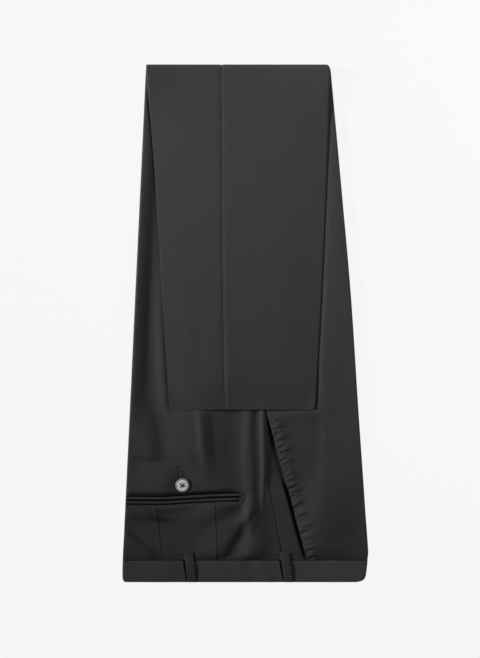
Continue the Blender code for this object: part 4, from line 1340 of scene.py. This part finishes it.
class TROUSERS_OT_pocket_button(bpy.types.Operator):
    """Make the four-hole button of the back pocket and the thread that holds it"""

    bl_idname = "trousers.pocket_button"
    bl_label = "Pocket button"

    def execute(self, context):
        settings = context.scene.trousers
        stand = float(leg_face("left", BUTTON_X, BUTTON_Y)[2]) + SEAM_GAP
        centre = Vector((BUTTON_X, BUTTON_Y, stand))
        bpy.ops.object.select_all(action="DESELECT")
        bpy.ops.mesh.primitive_cylinder_add(vertices=80, radius=0.45 * settings.button_diameter,
                                            depth=BUTTON_FOOT, location=(*centre.xy, stand + BUTTON_FOOT / 2))
        button = context.object
        button.name = "back_pocket_button_turned"
        bpy.ops.object.mode_set(mode="EDIT")
        shape = bmesh.from_edit_mesh(button.data)
        for face in shape.faces:
            face.select_set(False)
        for face in shape.faces:
            if face.normal.z > 0.9:
                face.select_set(True)
        shape.select_flush_mode()
        bmesh.update_edit_mesh(button.data)
        for step in BUTTON_SECTION:
            bpy.ops.mesh.extrude_region_move(TRANSFORM_OT_translate={"value": (0, 0, step.rise)})
            bpy.ops.transform.resize(value=(step.grow, step.grow, 1), center_override=centre)
        bpy.ops.object.mode_set(mode="OBJECT")
        bpy.ops.object.transform_apply(location=True, rotation=True, scale=True)
        for k in range(4):
            turn = math.radians(45 + 90 * k + HOLES_TURN)
            hole = centre + Vector((HOLE_REACH * math.cos(turn), HOLE_REACH * math.sin(turn), 0))
            bpy.ops.object.select_all(action="DESELECT")
            bpy.ops.mesh.primitive_cylinder_add(vertices=20, radius=HOLE_RADIUS, depth=0.01, location=hole)
            drill = context.object
            context.view_layer.objects.active = button
            cut = button.modifiers.new("thread_hole", "BOOLEAN")
            cut.operation, cut.solver, cut.object = "DIFFERENCE", "EXACT", drill
            bpy.ops.object.modifier_apply(modifier=cut.name)
            bpy.data.objects.remove(drill)
        bevel = button.modifiers.new("soft_edges", "BEVEL")
        bevel.width, bevel.segments, bevel.limit_method = 0.00008, 2, "ANGLE"
        bevel.angle_limit = math.radians(35)
        bpy.ops.object.select_all(action="DESELECT")
        button.select_set(True)
        context.view_layer.objects.active = button
        bpy.ops.object.modifier_apply(modifier=bevel.name)
        bpy.ops.object.shade_smooth_by_angle(angle=math.radians(40))
        button.data.materials.clear()
        button.data.materials.append(pearl_finish(settings))
        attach(button, "root")
        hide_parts("back_pocket_button")
        button_thread(stand)
        return {"FINISHED"}


class TROUSERS_PT_pieces(bpy.types.Panel):
    """Lists the trousers' sizes, colours and pieces"""

    bl_idname = "TROUSERS_PT_pieces"
    bl_label = "Folded trousers"
    bl_space_type = "VIEW_3D"
    bl_region_type = "UI"
    bl_category = "Trousers"

    def draw(self, context):
        settings = context.scene.trousers
        for name in TrouserSettings.__annotations__:
            self.layout.prop(settings, name)
        for operator in OPERATORS:
            self.layout.operator(operator.bl_idname)


FLOOR_SIZE, WORLD_STRENGTH = 8.0, 0.04
LENS, SENSOR_WIDTH = 110.0, 36.0
VIEW_X, VIEW_Y, VIEW_Z, VIEW_HEIGHT = -0.0065, -0.0070, 0.010, 0.8028
Lamp = namedtuple("Lamp", "name place aim size power spread")
LAMPS = (
    Lamp("key_light", (-3.85, 0.90, 2.05), (1.35, 0.36, 0), 1.4, 12.6, 18),
    Lamp("fill_light", (0.70, 0.50, 0.50), (0.05, 0.05, 0), 0.5, 3.4, 180),
)


class TROUSERS_OT_stage(bpy.types.Operator):
    """Make the floor, the lights and the camera"""

    bl_idname = "trousers.stage"
    bl_label = "Stage"

    def execute(self, context):
        settings = context.scene.trousers
        bpy.ops.object.select_all(action="DESELECT")
        bpy.ops.mesh.primitive_plane_add(size=FLOOR_SIZE, location=(0, 0, 0))
        floor = context.object
        floor.name = "floor"
        floor.data.materials.append(floor_finish(settings))
        for lamp in LAMPS:
            light = bpy.data.lights.new(lamp.name, "AREA")
            light.shape, light.size, light.energy = "SQUARE", lamp.size, lamp.power
            light.spread = math.radians(lamp.spread)
            holder = bpy.data.objects.new(lamp.name, light)
            holder.location = lamp.place
            aim = Vector(lamp.aim) - Vector(lamp.place)
            holder.rotation_euler = aim.to_track_quat("-Z", "Y").to_euler()
            holder.visible_camera = False
            context.scene.collection.objects.link(holder)
        world = bpy.data.worlds.new("studio")
        world.use_nodes = True
        background = world.node_tree.nodes["Background"].inputs
        background["Color"].default_value = (1, 1, 1, 1)
        background["Strength"].default_value = WORLD_STRENGTH
        context.scene.world = world
        context.scene.view_settings.view_transform = "Standard"
        camera = bpy.data.cameras.new("camera")
        camera.lens, camera.sensor_width = LENS, SENSOR_WIDTH
        eye = bpy.data.objects.new("camera", camera)
        eye.location = (VIEW_X, VIEW_Y, VIEW_Z + VIEW_HEIGHT * LENS / SENSOR_WIDTH)
        context.scene.collection.objects.link(eye)
        context.scene.camera = eye
        return {"FINISHED"}


OPERATORS = (
    TROUSERS_OT_leg_panels,
    TROUSERS_OT_waistbands,
    TROUSERS_OT_side_pockets,
    TROUSERS_OT_back_pocket,
    TROUSERS_OT_pocket_bags,
    TROUSERS_OT_pocket_button,
    TROUSERS_OT_stage,
)
CLASSES = (TrouserSettings, *OPERATORS, TROUSERS_PT_pieces)


def register():
    for kind in CLASSES:
        bpy.utils.register_class(kind)
    bpy.types.Scene.trousers = bpy.props.PointerProperty(type=TrouserSettings)


def unregister():
    del bpy.types.Scene.trousers
    for kind in reversed(CLASSES):
        bpy.utils.unregister_class(kind)


def main():
    register()
    bpy.ops.trousers.leg_panels()
    bpy.ops.trousers.waistbands()
    bpy.ops.trousers.side_pockets()
    bpy.ops.trousers.back_pocket()
    bpy.ops.trousers.pocket_bags()
    bpy.ops.trousers.pocket_button()
    bpy.ops.trousers.stage()


if __name__ == "__main__":
    main()
